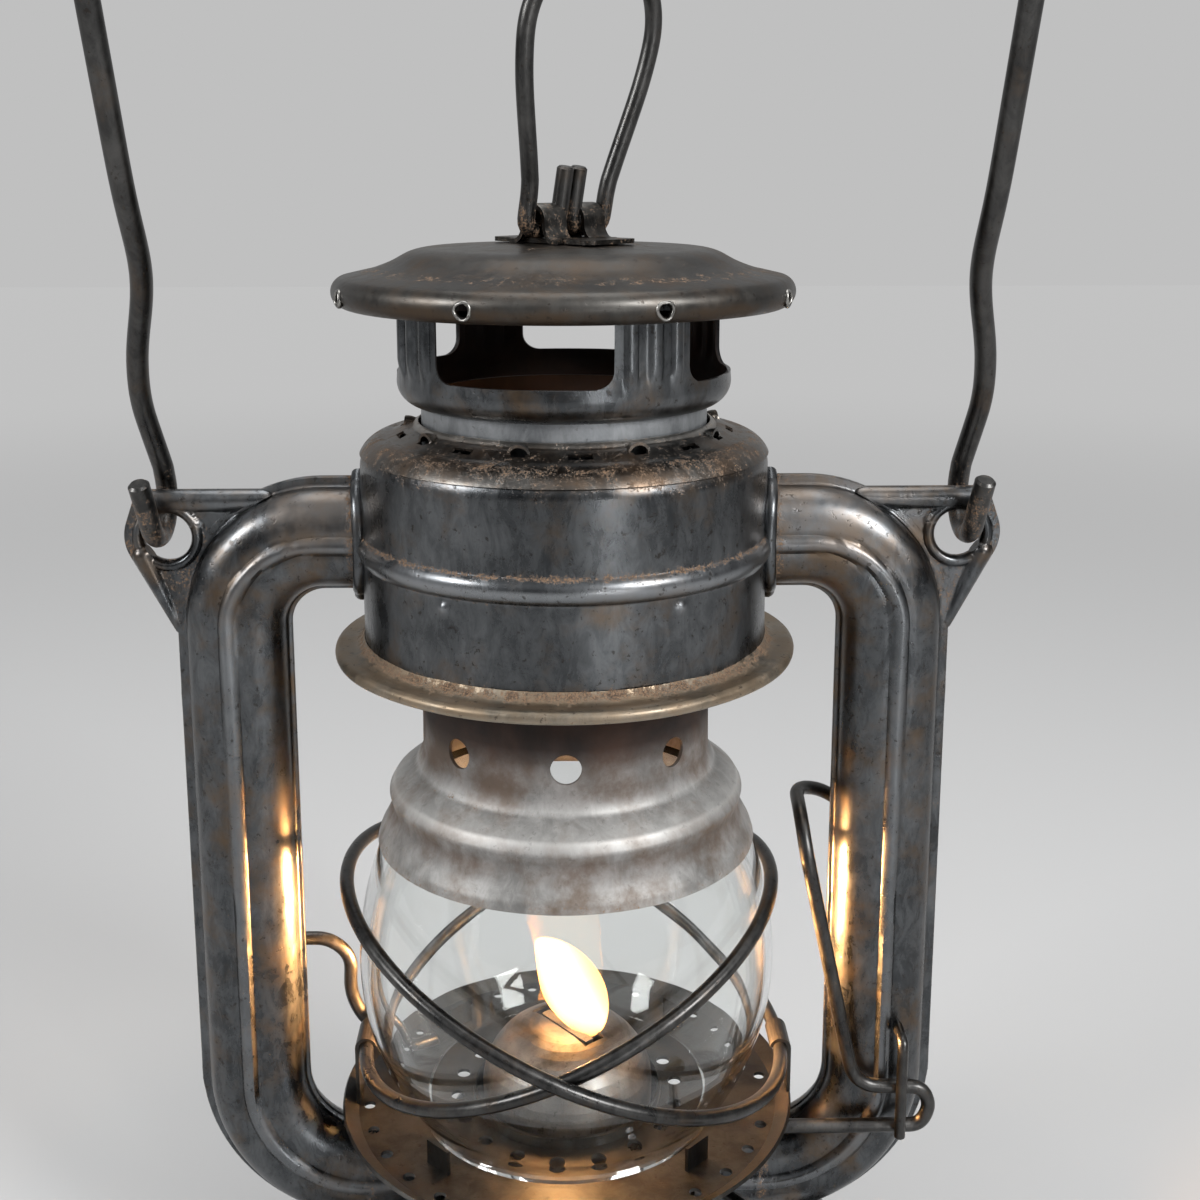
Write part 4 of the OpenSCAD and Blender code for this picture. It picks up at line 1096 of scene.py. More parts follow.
    def ear_plate(self, name: str, side: int, face: int) -> bpy.types.Object:
        """One leaf of a bail ear, on rays from the hole's centre out to the ear's outline.

        Its height is the highest of the sheet, the two half-round bars sqrt(r^2 - d^2) and the hole's collar.

        Args:
            name: Name of the piece.
            side: -1 for the left ear and 1 for the right one.
            face: -1 for the front leaf and 1 for the rear one.

        Returns:
            The new object.
        """
        hub = np.array(self.ear)
        elbow = np.array([self.x - self.upper_r, self.upper_z - self.upper_r])
        reach = self.upper_r + self.width / 2 - self.seam_w - 0.3
        bar_in = np.array([elbow[0] + math.sqrt(reach ** 2 - (self.bar_z - elbow[1]) ** 2), self.bar_z])
        bar_out = np.array([self.ear[0] + 4.0, self.bar_z])
        low_a = hub + (self.ear_r - self.bar_r) * np.array([math.cos(math.radians(-38)), math.sin(math.radians(-38))])
        low_b = np.array([self.x + self.width / 2 - 0.4, self.ear[1] - 18.6])
        circles = [(hub, self.ear_r), (bar_in, self.bar_r), (bar_out, self.bar_r), (low_b, 0.8)]
        angles = np.radians(np.linspace(0, 360, 180, endpoint=False))
        ray = np.stack([np.cos(angles), np.sin(angles)], axis=1)
        # The hull's edge along a ray is the nearest crossing of its support lines.
        normal = np.radians(np.linspace(0, 360, 1440, endpoint=False))
        normal = np.stack([np.cos(normal), np.sin(normal)], axis=1)
        support = np.max([normal @ (c - hub) + r for c, r in circles], axis=0)
        facing = ray @ normal.T
        edge = np.min(np.where(facing > 0.02, support[None, :] / np.maximum(facing, 0.02), 1e9), axis=1)
        # A ray that meets the tube's elbow stops at it.
        to_elbow = elbow - hub
        along = ray @ to_elbow
        gap = reach ** 2 - (to_elbow @ to_elbow - along ** 2)
        hit = np.where((gap > 0) & (along > 0), along - np.sqrt(np.maximum(gap, 0)), 1e9)
        wall = np.where(ray[:, 0] < -0.05, (self.x + self.width / 2 - self.seam_w - self.ear[0])
                        / np.minimum(ray[:, 0], -0.05), 1e9)
        wall = np.where(hub[1] + wall * ray[:, 1] < elbow[1], wall, 1e9)
        edge = np.minimum(edge, np.minimum(hit, wall))
        share = np.linspace(0, 1, 34) ** 0.9
        radius = self.hole_r + (edge[:, None] - self.hole_r) * share[None, :]
        place = hub + ray[:, None, :] * radius[..., None]

        def bar(a: Array, b: Array, thin: float = 0.0) -> Array:
            """Height of a half-round bar from a to b, which grows thinner by the given radius towards b."""
            t = np.clip(((place - a) @ (b - a)) / ((b - a) @ (b - a)), 0, 1)
            gap_d = np.linalg.norm(place - (a + t[..., None] * (b - a)), axis=-1)
            return np.sqrt(np.clip((self.bar_r - thin * t) ** 2 - gap_d ** 2, 0, None))

        sheet = np.full(radius.shape, 0.55)
        collar = 1.5 * np.sqrt(np.clip(1 - ((radius - self.hole_r - 1.1) / 1.15) ** 2, 0, 1))
        bars = np.maximum(bar(bar_in, bar_out), bar(low_a, low_b, self.bar_r - 0.7))
        height = np.maximum(np.maximum(sheet, collar), bars)
        height[:, -1] = np.minimum(height[:, -1], 0.3)
        flat = np.zeros_like(height[:, :1])
        rim = np.concatenate([place[:, :1], place, place[:, -1:]], axis=1)
        high = np.concatenate([flat, height, flat], axis=1)
        grid = np.stack([side * rim[..., 0], face * high, rim[..., 1]], axis=-1)
        return grid_piece(name, grid, True, True, 60)

    def collar(self, name: str, side: int) -> bpy.types.Object:
        """Thin rolled ring round the tube, lying on the drum: x = sqrt(R^2 - y^2) + 0.6.

        Args:
            name: Name of the piece.
            side: -1 for the left collar and 1 for the right one.

        Returns:
            The new object.
        """
        t = np.radians(np.linspace(0, 360, 140, endpoint=False))
        a, b = self.width / 2 - self.seam_w + 0.75, self.depth / 2 + 0.75
        z = a * np.sign(np.cos(t)) * np.abs(np.cos(t)) ** 0.77
        y = b * np.sign(np.sin(t)) * np.abs(np.sin(t)) ** 0.77
        z = z + np.sign(z) * 1.6 * bump(y, 0.0, 1.3) * (np.abs(z) > 6)
        x = np.sqrt(np.maximum(self.drum_r ** 2 - y ** 2, 1.0)) + 0.75
        path = np.stack([side * x, y, z + self.upper_z], axis=1)
        step = np.roll(path, -1, axis=0) - np.roll(path, 1, axis=0)
        step /= np.linalg.norm(step, axis=1)[:, None]
        outwards = np.broadcast_to(np.array([side, 0.0, 0.0]), path.shape)
        n = outwards - np.sum(outwards * step, axis=1)[:, None] * step
        n /= np.linalg.norm(n, axis=1)[:, None]
        b2 = np.cross(step, n)
        turn = np.linspace(0, 2 * math.pi, 14, endpoint=False)
        ring = 1.05 * (n[:, None, :] * np.cos(turn)[None, :, None] * 1.25 + b2[:, None, :]
                       * np.sin(turn)[None, :, None])
        return grid_piece(name, path[:, None, :] + ring, True, True)

    def wear(self, place: Array) -> Array:
        """Rust along the seams and in the elbows."""
        x, y, z = np.abs(place[:, 0]), np.abs(place[:, 1]), place[:, 2]
        seam = 0.25 * bump(y, 0.3, 0.5)
        drum = 0.5 * bump(x, self.drum_r + 1.5, 1.6)
        ear = 0.17 * smoothstep(66, 72, x) * (z > 164)
        return seam + drum + ear

    def build(self) -> None:
        """Makes the tubes and their collars."""
        for side, word in ((-1, "left"), (1, "right")):
            for face, end in ((-1, "front"), (1, "rear")):
                name = f"air_tube_{word}_{end}"
                piece = join(name, [self.pressing(name + "_a", side, face), self.ear_plate(name + "_b", side, face)])
                paint(piece, "rust", self.wear)
                paint(piece, "scorch", lambda p: 0.32 * smoothstep(150, 182, p[:, 2]) + 0.3 * bump(p[:, 2], 132, 26)
                      + 0.4 * smoothstep(57, 52, np.abs(p[:, 0])))
                # Painted highlights along the bead ridge and on the upper faces of the arms.
                paint(piece, "wear_and_highlight", lambda p: 0.5 * bump(np.abs(p[:, 1]), self.depth / 2 + self.bead_h, 0.35)
                      + 0.45 * bump(p[:, 2], self.upper_z + 5.5, 4.0) * smoothstep(72, 60, np.abs(p[:, 0])))
                install(piece, "frame", "dark_tin", [f"tube_{word}_{end}"])
            ring = self.collar(f"tube_ring_{word}", side)
            paint(ring, "rust", lambda p: np.full(len(p), 0.12))
            install(ring, "frame", "dark_tin", [f"tube_collar_{word}"])


@dataclass
class AirDrum:
    """The drum with its bead and dimples, and its flared skirt."""

    radius: float = 38.6
    top_z: float = 201.5
    bead_z: float = 181.0
    bottom_z: float = 162.0
    bead_half: float = 2.35
    bead_out: float = 1.15
    shoulder: float = 5.0
    skirt_d: float = 88.6
    skirt_roll: float = 1.2
    sheet: float = 0.7
    dimples: tuple[float, ...] = (-123.0, -59.0, 57.0, 121.0)

    def dimple_mask(self, degrees: Array, z: Array) -> Array:
        """Returns 1 in the middle of each pressed dimple, falling to 0 round it.

        Args:
            degrees: Angle round the drum, in degrees.
            z: Height, in millimetres.

        Returns:
            The mask, of the inputs' common shape.
        """
        mask = 0.0 * (degrees + z)
        for place in self.dimples:
            along = np.radians((degrees - place + 180) % 360 - 180) * self.radius
            mask = mask + np.exp(-((along / 0.85) ** 2 + ((z - 176.8) / 0.85) ** 2))
        return mask

    def wall(self) -> bpy.types.Object:
        """Makes the drum's wall.

        Returns:
            The new object.
        """
        r, half = self.radius, self.bead_half
        b = (half ** 2 + self.bead_out ** 2) / (2 * self.bead_out)
        turn = math.degrees(math.asin(half / b))
        ridge = arc((r + self.bead_out - b, self.bead_z), b, -turn, turn, 14)
        low = np.concatenate([np.linspace(self.bottom_z, 174.6, 7), np.linspace(175.1, self.bead_z - half - 0.5, 9)])
        straight_low = np.stack([np.full(len(low), r), low], axis=1)
        straight_high = np.stack([np.full(9, r), np.linspace(self.bead_z + half + 0.5, self.top_z - self.shoulder, 9)],
                                 axis=1)
        bead = softened(np.concatenate([straight_low[-1:], ridge, straight_high[:1]]), 0.35, 4)[1:-1]
        shoulder = arc((r - self.shoulder, self.top_z - self.shoulder), self.shoulder, 4, 90, 18)
        profile = np.concatenate([straight_low, bead, straight_high, shoulder])

        def dents(angle: Array, z: Array) -> Array:
            """Four pressed dimples, a lap seam at the back and slow waves of the old sheet."""
            change = 0.07 * np.sin(3 * angle + 0.06 * z) + 0.05 * np.sin(7 * angle - 0.11 * z)
            change = change + 0.6 * self.dimple_mask(np.degrees(angle), z)
            back = ((np.degrees(angle) - 90 + 180) % 360 - 180) * math.pi / 180 * self.radius
            change = change + 0.45 * smoothstep(-0.6, 0.6, back) * smoothstep(9.0, 6.5, back)
            return change * smoothstep(self.top_z - 2.2, self.top_z - 6, z)

        return spun("air_drum_wall", profile, self.sheet, 0, 360, dents, 50)

    def skirt(self) -> bpy.types.Object:
        """Makes the flared skirt with its rolled edge.

        Returns:
            The new object.
        """
        roll_x, roll_z = self.skirt_d / 2 - self.skirt_roll, self.bottom_z - 1.4
        flare = softened(np.array([[self.radius + 0.1, self.bottom_z + 1.6], [self.radius + 0.7, self.bottom_z + 0.4],
                                   [self.radius + 2.0, self.bottom_z - 0.35], [roll_x, roll_z + self.skirt_roll]]),
                         1, 6)
        roll = arc((roll_x, roll_z), self.skirt_roll, 90, -150, 14)
        top = np.concatenate([flare, roll[1:]])
        inner = np.array([[self.radius - 0.6, self.bottom_z - 0.6]])
        loop = np.concatenate([top, arc((roll_x, roll_z), 0.6, -150, 60, 6), inner,
                               [[self.radius - 0.6, self.bottom_z - 0.02]]])
        wave = lambda angle, z: 0.12 * np.sin(4 * angle + 1) + 0.08 * np.sin(9 * angle)
        return grid_piece("drum_skirt", revolved(loop, 360, wave), True, True, 50)

    def build(self) -> None:
        """Makes the wall and the skirt."""
        wall = self.wall()
        paint(wall, "rust", lambda p: 0.5 * bump(p[:, 2], self.bead_z + self.bead_half, 0.8)
              + 0.3 * bump(p[:, 2], self.bead_z - self.bead_half, 0.6) + 0.55 * bump(p[:, 2], 162.4, 0.9)
              + 0.24 * smoothstep(170, 162, p[:, 2]) + 0.3 * smoothstep(194.0, 198.5, p[:, 2]))
        # Painted highlight along the bead and painted glints in the dimples.
        paint(wall, "wear_and_highlight", lambda p: bump(p[:, 2], self.bead_z - 0.2, 1.5)
              + self.dimple_mask(np.degrees(np.arctan2(p[:, 1], p[:, 0])), p[:, 2]))
        paint(wall, "scorch", lambda p: 0.55 * smoothstep(194, 201, p[:, 2]) + 0.3 * smoothstep(168, 162, p[:, 2]))
        install(wall, "frame", "dark_tin", ["air_drum"])
        skirt = self.skirt()
        paint(skirt, "rust", lambda p: 0.17 + 0.32 * bump(np.hypot(p[:, 0], p[:, 1]), self.radius + 0.7, 0.9))
        paint(skirt, "wear_and_highlight", lambda p: 0.6 * bump(p[:, 2], self.bottom_z - 2.3, 0.45))
        paint(skirt, "scorch", lambda p: np.full(len(p), 0.8))
        install(skirt, "frame", "rusty_tin", ["skirt"])


def cut(piece: bpy.types.Object, cutters: Sequence[bpy.types.Object], sharp: float = 40.0) -> bpy.types.Object:
    """Cuts closed pieces out of a closed piece and removes the cutters.

    Args:
        piece: The piece to cut.
        cutters: Closed objects, taken away as one.
        sharp: Angle in degrees above which an edge stays sharp.

    Returns:
        The same piece.
    """
    tool = join(piece.name + "_cutter", cutters)
    step = piece.modifiers.new("cut", "BOOLEAN")
    step.operation, step.solver, step.object = "DIFFERENCE", "EXACT", tool
    graph = bpy.context.evaluated_depsgraph_get()
    result = bpy.data.meshes.new_from_object(piece.evaluated_get(graph))
    old = piece.data
    piece.modifiers.clear()
    piece.data = result
    bpy.data.meshes.remove(old)
    data = tool.data
    bpy.data.objects.remove(tool)
    bpy.data.meshes.remove(data)
    piece.data.shade_smooth()
    piece.data.set_sharp_from_angle(angle=math.radians(sharp))
    return piece


def rounded_bar(name: str, half: tuple[float, float], corner: float, start: float, end: float,
                centre: tuple[float, float] = (0.0, 0.0)) -> bpy.types.Object:
    """Bar along X with a rounded rectangle as its section in the plane (y, z).

    Args:
        name: Name of the piece.
        half: Half width and half height.
        corner: Radius of the corners.
        start: Where the bar begins.
        end: Where the bar ends.
        centre: Centre of the section.

    Returns:
        The new object.
    """
    w, h = half[0] - corner, half[1] - corner
    loop = np.concatenate([arc((w, h), corner, 0, 90, 8), arc((-w, h), corner, 90, 180, 8),
                           arc((-w, -h), corner, 180, 270, 8), arc((w, -h), corner, 270, 360, 8)])
    loop = loop + np.array(centre)
    ends = [np.concatenate([np.full((len(loop), 1), x), loop], axis=1) for x in (start, end)]
    grid = np.stack(ends)
    faces = grid_faces(2, len(loop), False, True).tolist()
    faces += [list(range(len(loop))), list(range(len(loop), 2 * len(loop)))]
    return clean(new_mesh(name, grid, faces), sharp=40)


def turned_piece(piece: bpy.types.Object, degrees: float, axis: str = "Z",
                 shift: Sequence[float] = (0.0, 0.0, 0.0)) -> bpy.types.Object:
    """Turns a piece's mesh about an axis through the origin, then moves it by millimetres."""
    piece.data.transform(Matrix.Translation(Vector(shift) * MM) @ Matrix.Rotation(math.radians(degrees), 4, axis))
    return piece


@dataclass
class DrumTop:
    """Louvred plate round the neck: half-round tongues, slits between them and a turned-up lip."""

    bend_r: float = 33.6
    bend: float = 5.0
    outer_r: float = 38.2
    bend_z: float = 201.5
    lip_r: float = 27.6
    lip_z: float = 204.4
    count: int = 9
    first: float = -65.0
    sheet: float = 0.5

    def build(self) -> None:
        """Makes the plate from a grid of rays without the faces of its openings.

        Its height z(r, a) is the drum's rounded shoulder outside, z = z0 - b + sqrt(b^2 - (r - r0)^2), then a slope
        up to the lip, with half-round tongues on it.
        """
        steps = 720
        mouth = self.lip_r + 2.9
        r = np.concatenate([[self.lip_r, self.lip_r + 0.02, self.lip_r + 0.25, self.lip_r + 0.6],
                            np.linspace(self.lip_r + 0.9, mouth, 12), [mouth + 0.02],
                            np.linspace(mouth + 0.3, self.bend_r, 14),
                            self.bend_r + 4.6 * np.sin(np.linspace(0.05, 1.0, 14) * math.pi / 2)])
        angle = np.radians(np.linspace(0, 360, steps, endpoint=False))
        past = np.clip(r - self.bend_r, 0, None)
        base = self.bend_z - self.bend + np.sqrt((self.bend + 0.05) ** 2 - past ** 2)
        base = base + (self.lip_z - 1.2 - self.bend_z) * smoothstep(self.bend_r, self.lip_r + 1.0, r)
        base = base + 1.0 * smoothstep(self.lip_r + 1.1, self.lip_r, r)
        period = 360.0 / self.count
        off = (np.degrees(angle) - self.first + period / 2) % period - period / 2
        across = off[:, None] * math.pi / 180 * r[None, :]
        share = np.clip((r - self.lip_r - 0.5) / (mouth - self.lip_r - 0.5), 0, 1)
        half = 0.9 + 0.85 * share
        arch = np.sqrt(np.clip(1 - (across / half) ** 2, 0, 1)) * 1.5 * share ** 0.7 * (r <= mouth + 1e-6)
        z = base[None, :] + arch + 0.08 * np.sin(5 * angle)[:, None] * smoothstep(self.bend_r + 0.5, self.bend_r - 3, r)
        grid = np.stack([r * np.cos(angle)[:, None], r * np.sin(angle)[:, None], z], axis=-1)
        faces = grid_faces(steps, len(r), True, False)
        middle_r = np.array([np.mean([r[i % len(r)] for i in face]) for face in faces])
        middle_x = np.array([np.mean([across[i // len(r), i % len(r)] for i in face]) for face in faces])
        at_mouth = (np.abs(middle_r - mouth - 0.01) < 0.02) & (np.abs(middle_x) < 1.65)
        slit_off = (period / 2) * math.pi / 180 * middle_r - np.abs(middle_x)
        slit = (np.abs(middle_r - self.lip_r - 3.4) < 0.6) & (np.abs(slit_off) < 2.2)
        keep = ~(at_mouth | slit | ((middle_r > mouth) & (middle_r < mouth + 0.7) & (np.abs(middle_x) < 1.3)))
        piece = new_mesh("drum_top_plate", grid, faces[keep])
        thick = piece.modifiers.new("sheet", "SOLIDIFY")
        thick.thickness, thick.offset = self.sheet * MM, -1.0
        piece = applied(piece)
        piece.data.shade_smooth()
        piece.data.set_sharp_from_angle(angle=math.radians(45))
        paint(piece, "rust", lambda p: 0.22 + 0.12 * bump(np.hypot(p[:, 0], p[:, 1]), 36.0, 2.2))
        paint(piece, "wear_and_highlight", lambda p: smoothstep(29.0, 28.0, np.hypot(p[:, 0], p[:, 1])))
        paint(piece, "scorch", lambda p: np.full(len(p), 0.4))
        install(piece, "frame", "plate_tin", ["drum_top"])


def applied(piece: bpy.types.Object) -> bpy.types.Object:
    """Applies a piece's modifiers.

    Args:
        piece: The piece.

    Returns:
        The same piece.
    """
    graph = bpy.context.evaluated_depsgraph_get()
    result = bpy.data.meshes.new_from_object(piece.evaluated_get(graph))
    old = piece.data
    piece.modifiers.clear()
    piece.data = result
    bpy.data.meshes.remove(old)
    return piece


@dataclass
class Chimney:
    """The sliding chimney: bell, neck, canopy with its windows, hood and ring bracket."""

    tube_r: float = 28.05
    shoulder_r: float = 34.3
    flange_r: float = 37.3
    edge_z: float = 121.7
    top_z: float = 172.0
    hole_d: float = 5.7
    neck_r: float = 27.0
    neck_low: float = 166.0
    canopy_r: float = 31.3
    canopy_low: float = 207.8
    window_z: float = 214.2
    window_w: float = 32.0
    window_turn: float = -15.0
    rim_z: float = 229.0
    roll_r: float = 2.85
    hood_r: float = 43.05
    crown_r: float = 28.8
    crown_z: float = 237.6
    ring_turn: float = 45.0
    pivot_z: float = 240.2
    sheet: float = 0.7

    def bell(self) -> None:
        """Makes the bell with its eight round holes."""
        t = self.tube_r
        shoulder = self.edge_z + 10.3
        corners = np.array([[self.flange_r, self.edge_z], [self.flange_r - 0.5, self.edge_z + 1.6],
                            [self.shoulder_r + 0.95, self.edge_z + 4.4], [self.shoulder_r - 0.15, shoulder - 3.0],
                            [self.shoulder_r + 0.55, shoulder - 0.3], [self.shoulder_r - 0.6, shoulder + 1.7],
                            [t + 1.4, self.edge_z + 15.2], [t, self.edge_z + 18.4], [t, self.edge_z + 22]])
        reach = [0.4, 0.8, 0.8, 0.5, 0.45, 0.7, 0.6]
        path = [corners[:1]]
        for k in range(1, len(corners) - 1):
            path.append(softened(corners[k - 1:k + 2], reach[k - 1], 9)[1:-1])
        profile = np.concatenate(path + [np.stack([np.full(12, t), np.linspace(self.edge_z + 22, self.top_z, 12)],
                                                  axis=1)])
        wave = lambda angle, z: 0.05 * np.sin(4 * angle + 0.2 * z) + 0.03 * np.sin(11 * angle)
        piece = spun("bell_shell", profile, self.sheet, 0, 220, wave, 55)
        holes = []
        for k in range(8):
            bar = rounded_bar(f"hole_{k}", (self.hole_d / 2, self.hole_d / 2), self.hole_d / 2 - 0.01, 20, 40)
            holes.append(turned_piece(bar, -90 + 45 * k, "Z", (0, 0, self.edge_z + 23.4)))
        cut(piece, holes, 55)
        radius = lambda p: np.hypot(p[:, 0], p[:, 1])
        paint(piece, "rust", lambda p: 0.26 * smoothstep(160, 140, p[:, 2]) * bump(radius(p), self.tube_r + 1.5, 1.4)
              + 0.34 * smoothstep(self.flange_r - 1.6, self.flange_r, radius(p))
              + 0.2 * bump(p[:, 2], self.edge_z + 7.6, 0.7))
        paint(piece, "scorch", lambda p: 0.34 * smoothstep(self.flange_r - 2.0, self.flange_r, radius(p))
              + 0.75 * smoothstep(136.5, 142, p[:, 2]) + 0.4 * inner_side(piece)
              + 0.35 * bump(radius(p), self.shoulder_r, 1.0))
        # Painted highlight lines on the shoulder's rounded edge and at the fillet where the shelf meets the tube.
        paint(piece, "wear_and_highlight", lambda p: 0.5 * bump(p[:, 2], self.edge_z + 11.6, 1.2)
              + 0.3 * bump(p[:, 2], self.edge_z + 16.4, 1.0))
        # Painted shade with some soot: near black inside, darkening up the tube where the skirt shades it, and a dark
        # band below the shoulder's edge.
        paint(piece, "soot_and_shade", lambda p: np.maximum(
            0.3 * inner_side(piece), 0.42 * smoothstep(137, 139.5, p[:, 2]) + 0.55 * smoothstep(142, 149, p[:, 2])
            + 0.5 * bump(p[:, 2], self.edge_z + 7.0, 2.5)))
        install(piece, "chimney", "zinc", ["bell"])

    def neck(self) -> None:
        """Makes the sliding neck."""
        z = np.linspace(self.neck_low, self.canopy_low + 1.5, 30)
        wave = lambda angle, height: 0.04 * np.sin(5 * angle + 0.3 * height)
        piece = spun("neck_tube", np.stack([np.full(30, self.neck_r), z], axis=1), self.sheet, 0, 160, wave)
        paint(piece, "rust", lambda p: 0.1 + 0.15 * bump(p[:, 2], 204.5, 1.0))
        # Soot and painted shade make the inside near black.
        paint(piece, "soot_and_shade", lambda p: 0.98 * inner_side(piece))
        install(piece, "chimney", "neck_zinc", ["neck"])

    def canopy(self) -> None:
        """Makes the canopy drum: flutes between its four windows, and a cupped lower end."""
        r, low = self.canopy_r, self.canopy_low
        top = self.crown_z - 3.7
        cup = arc((r - 4.4, low + 4.6), 4.5, -88, 0, 16)
        profile = np.concatenate([[[self.neck_r + 0.02, low - 0.02]], cup,
                                  np.stack([np.full(40, r), np.linspace(low + 6, top, 40)], axis=1)])

        def flutes(angle: Array, z: Array) -> Array:
            """Three soft upright flutes on each pillar."""
            off = (np.degrees(angle) - self.window_turn - 45 + 45) % 90 - 45
            shape = sum(np.sqrt(np.clip(1 - ((off - k * 8.5) / 2.5) ** 2, 0, 1)) for k in (-1, 0, 1))
            return 0.95 * shape * smoothstep(self.window_z - 1.5, self.window_z + 3.5, z) * smoothstep(top, top - 3, z)

        piece = spun("canopy_shell", profile, self.sheet, 0, 480, flutes, 45)
        windows = []
        height = self.rim_z + 1 - self.window_z
        for k in range(4):
            bar = rounded_bar(f"window_{k}", (self.window_w / 2, height), 3.2, 16, 40, (0, self.window_z + height))
            windows.append(turned_piece(bar, self.window_turn - 90 + 90 * k))
        cut(piece, windows, 45)
        # Soot and painted shade make the inside near black.
        paint(piece, "soot_and_shade", lambda p: 0.98 * inner_side(piece))
        paint(piece, "rust", lambda p: 0.16 * bump(p[:, 2], self.canopy_low + 2, 2))
        paint(piece, "scorch", lambda p: 0.25 * smoothstep(self.canopy_low + 10, self.canopy_low, p[:, 2]))
        install(piece, "chimney", "dark_tin", ["canopy"])

    def hood(self) -> None:
        """Makes the hood: rolled rim, hollow slope, low crown, and eight holes with raised lips."""
        roll_x = self.hood_r - self.roll_r
        slope = np.array([[self.crown_r + 10.2, self.crown_z - 5.45], [self.crown_r + 7.0, self.crown_z - 4.75],
                          [self.crown_r + 3.4, self.crown_z - 3.4], [self.crown_r, self.crown_z - 1.5],
                          [self.crown_r - 2.4, self.crown_z - 0.9], [self.crown_r / 2, self.crown_z - 0.3],
                          [5, self.crown_z]])
        rim = arc((roll_x, self.rim_z), self.roll_r, -153, 66, 26)
        profile = np.concatenate([rim, softened(np.concatenate([rim[-1:], slope]), 1.3, 6)[1:],
                                  [[0.01, self.crown_z]]])
        loop = offset_outline(profile, self.sheet)
        loop = loop[loop[:, 0] > -0.001]
        wave = lambda angle, z: 0.07 * np.sin(3 * angle + 1) + 0.04 * np.sin(8 * angle)
        grid = revolved(loop, 300, wave)
        piece = clean(new_mesh("hood_shell", grid, grid_faces(grid.shape[0], grid.shape[1], True, False)), sharp=50)
        holes, lips = [], []
        for k in range(8):
            turn = 22.5 + 45 * k
            bar = rounded_bar(f"rim_hole_{k}", (1.15, 1.15), 1.14, roll_x, self.hood_r + 4)
            holes.append(turned_piece(bar, turn, "Z", (0, 0, self.rim_z - 0.5)))
            a = np.linspace(0, 2 * math.pi, 40, endpoint=False)[:, None]
            b = np.linspace(0, 2 * math.pi, 12, endpoint=False)[None, :]
            wide = 1.42 + 0.3 * np.cos(b) + 0.08 * np.sin(3 * a + k)
            ring = np.stack([self.hood_r - 0.12 + 0.42 * np.sin(b) + 0.1 * np.sin(2 * a + 2 * k), wide * np.cos(a),
                             wide * np.sin(a)], axis=-1)
            lips.append(turned_piece(grid_piece(f"rim_lip_{k}", ring, True, True), turn, "Z",
                                     (0, 0, self.rim_z - 0.5)))
        cut(piece, holes, 50)
        radius = lambda p: np.hypot(p[:, 0], p[:, 1])
        paint(piece, "rust", lambda p: 0.36 * bump(radius(p), self.crown_r + 7.4, 3.4)
              + 0.2 * bump(radius(p), self.crown_r, 2.4)
              + 0.28 * smoothstep(self.crown_r - 2, self.crown_r - 12, radius(p)))
        # Soot and painted shade make the inside under the crown and upper slope near black.
        paint(piece, "soot_and_shade", lambda p: 0.9 * inner_side(piece)
              * smoothstep(self.crown_r + 9, self.crown_r + 7, radius(p)))
        paint(piece, "scorch", lambda p: 0.3 + 0.55 * smoothstep(self.rim_z + 0.5, self.rim_z - 1.5, p[:, 2]))
        # Painted highlight along the top of the rolled rim, and worn lighter metal on the crown.
        paint(piece, "wear_and_highlight", lambda p: 0.5 * bump(p[:, 2], self.rim_z + 0.8, 0.9)
              * smoothstep(self.crown_r + 8, self.crown_r + 11, radius(p)) + 0.4 * bump(radius(p), 21.0, 6.0))
        install(piece, "chimney", "brown_tin", ["hood"])
        lip = join("hood_rim_lips", lips)
        install(lip, "chimney", "worn_edge")

    def bracket(self) -> None:
        """Makes the folded bracket: a foot with side tabs, and two lobes curled over the ring's wire."""
        base_z, wall = self.crown_z + 0.1, 0.8
        eye = 2.3
        high = self.pivot_z + 1.6
        cheek = 10 - 1.6 - 0.5
        parts = []
        side = softened(np.array([[6.3, base_z + wall], [4.3, base_z + wall], [eye + wall + 0.05, base_z + 2.4],
                                  [eye + wall, high]]), 0.9, 5)
        crown = arc((0.0, high), eye + wall, 4, 90, 10)
        half = np.concatenate([side, crown])
        full = np.concatenate([half, half[:-1][::-1] * np.array([-1.0, 1.0])])
        loop = offset_outline(full, wall)
        for low, up in ((-cheek, -2.3), (2.3, cheek)):
            x = np.array([low, low + 0.25, up - 0.25, up])
            shrink = np.array([0.12, 0.0, 0.0, 0.12])
            grid = np.stack([np.stack([np.full(len(loop), v), loop[:, 0], loop[:, 1] - s], axis=1)
                             for v, s in zip(x, shrink)])
            faces = grid_faces(4, len(loop), False, True).tolist()
            faces += [list(range(len(loop))), list(range(3 * len(loop), 4 * len(loop)))]
            parts.append(clean(new_mesh("lobe", grid, faces), sharp=50))
        foot = rounded_bar("foot", (13.0, 6.5), 2.0, base_z, base_z + wall)
        parts.append(turned_piece(foot, -90, "Y"))
        piece = join("ring_bracket_fold", parts)
        turned_piece(piece, self.ring_turn)
        paint(piece, "rust", lambda p: np.full(len(p), 0.3))
        paint(piece, "wear_and_highlight", lambda p: 0.5 * smoothstep(high + 1.6, high + 2.6, p[:, 2]))
        install(piece, "chimney", "brown_tin", ["ring_bracket"])

    def build(self) -> None:
        """Makes the whole chimney."""
        self.bell()
        self.neck()
        self.canopy()
        self.hood()
        self.bracket()


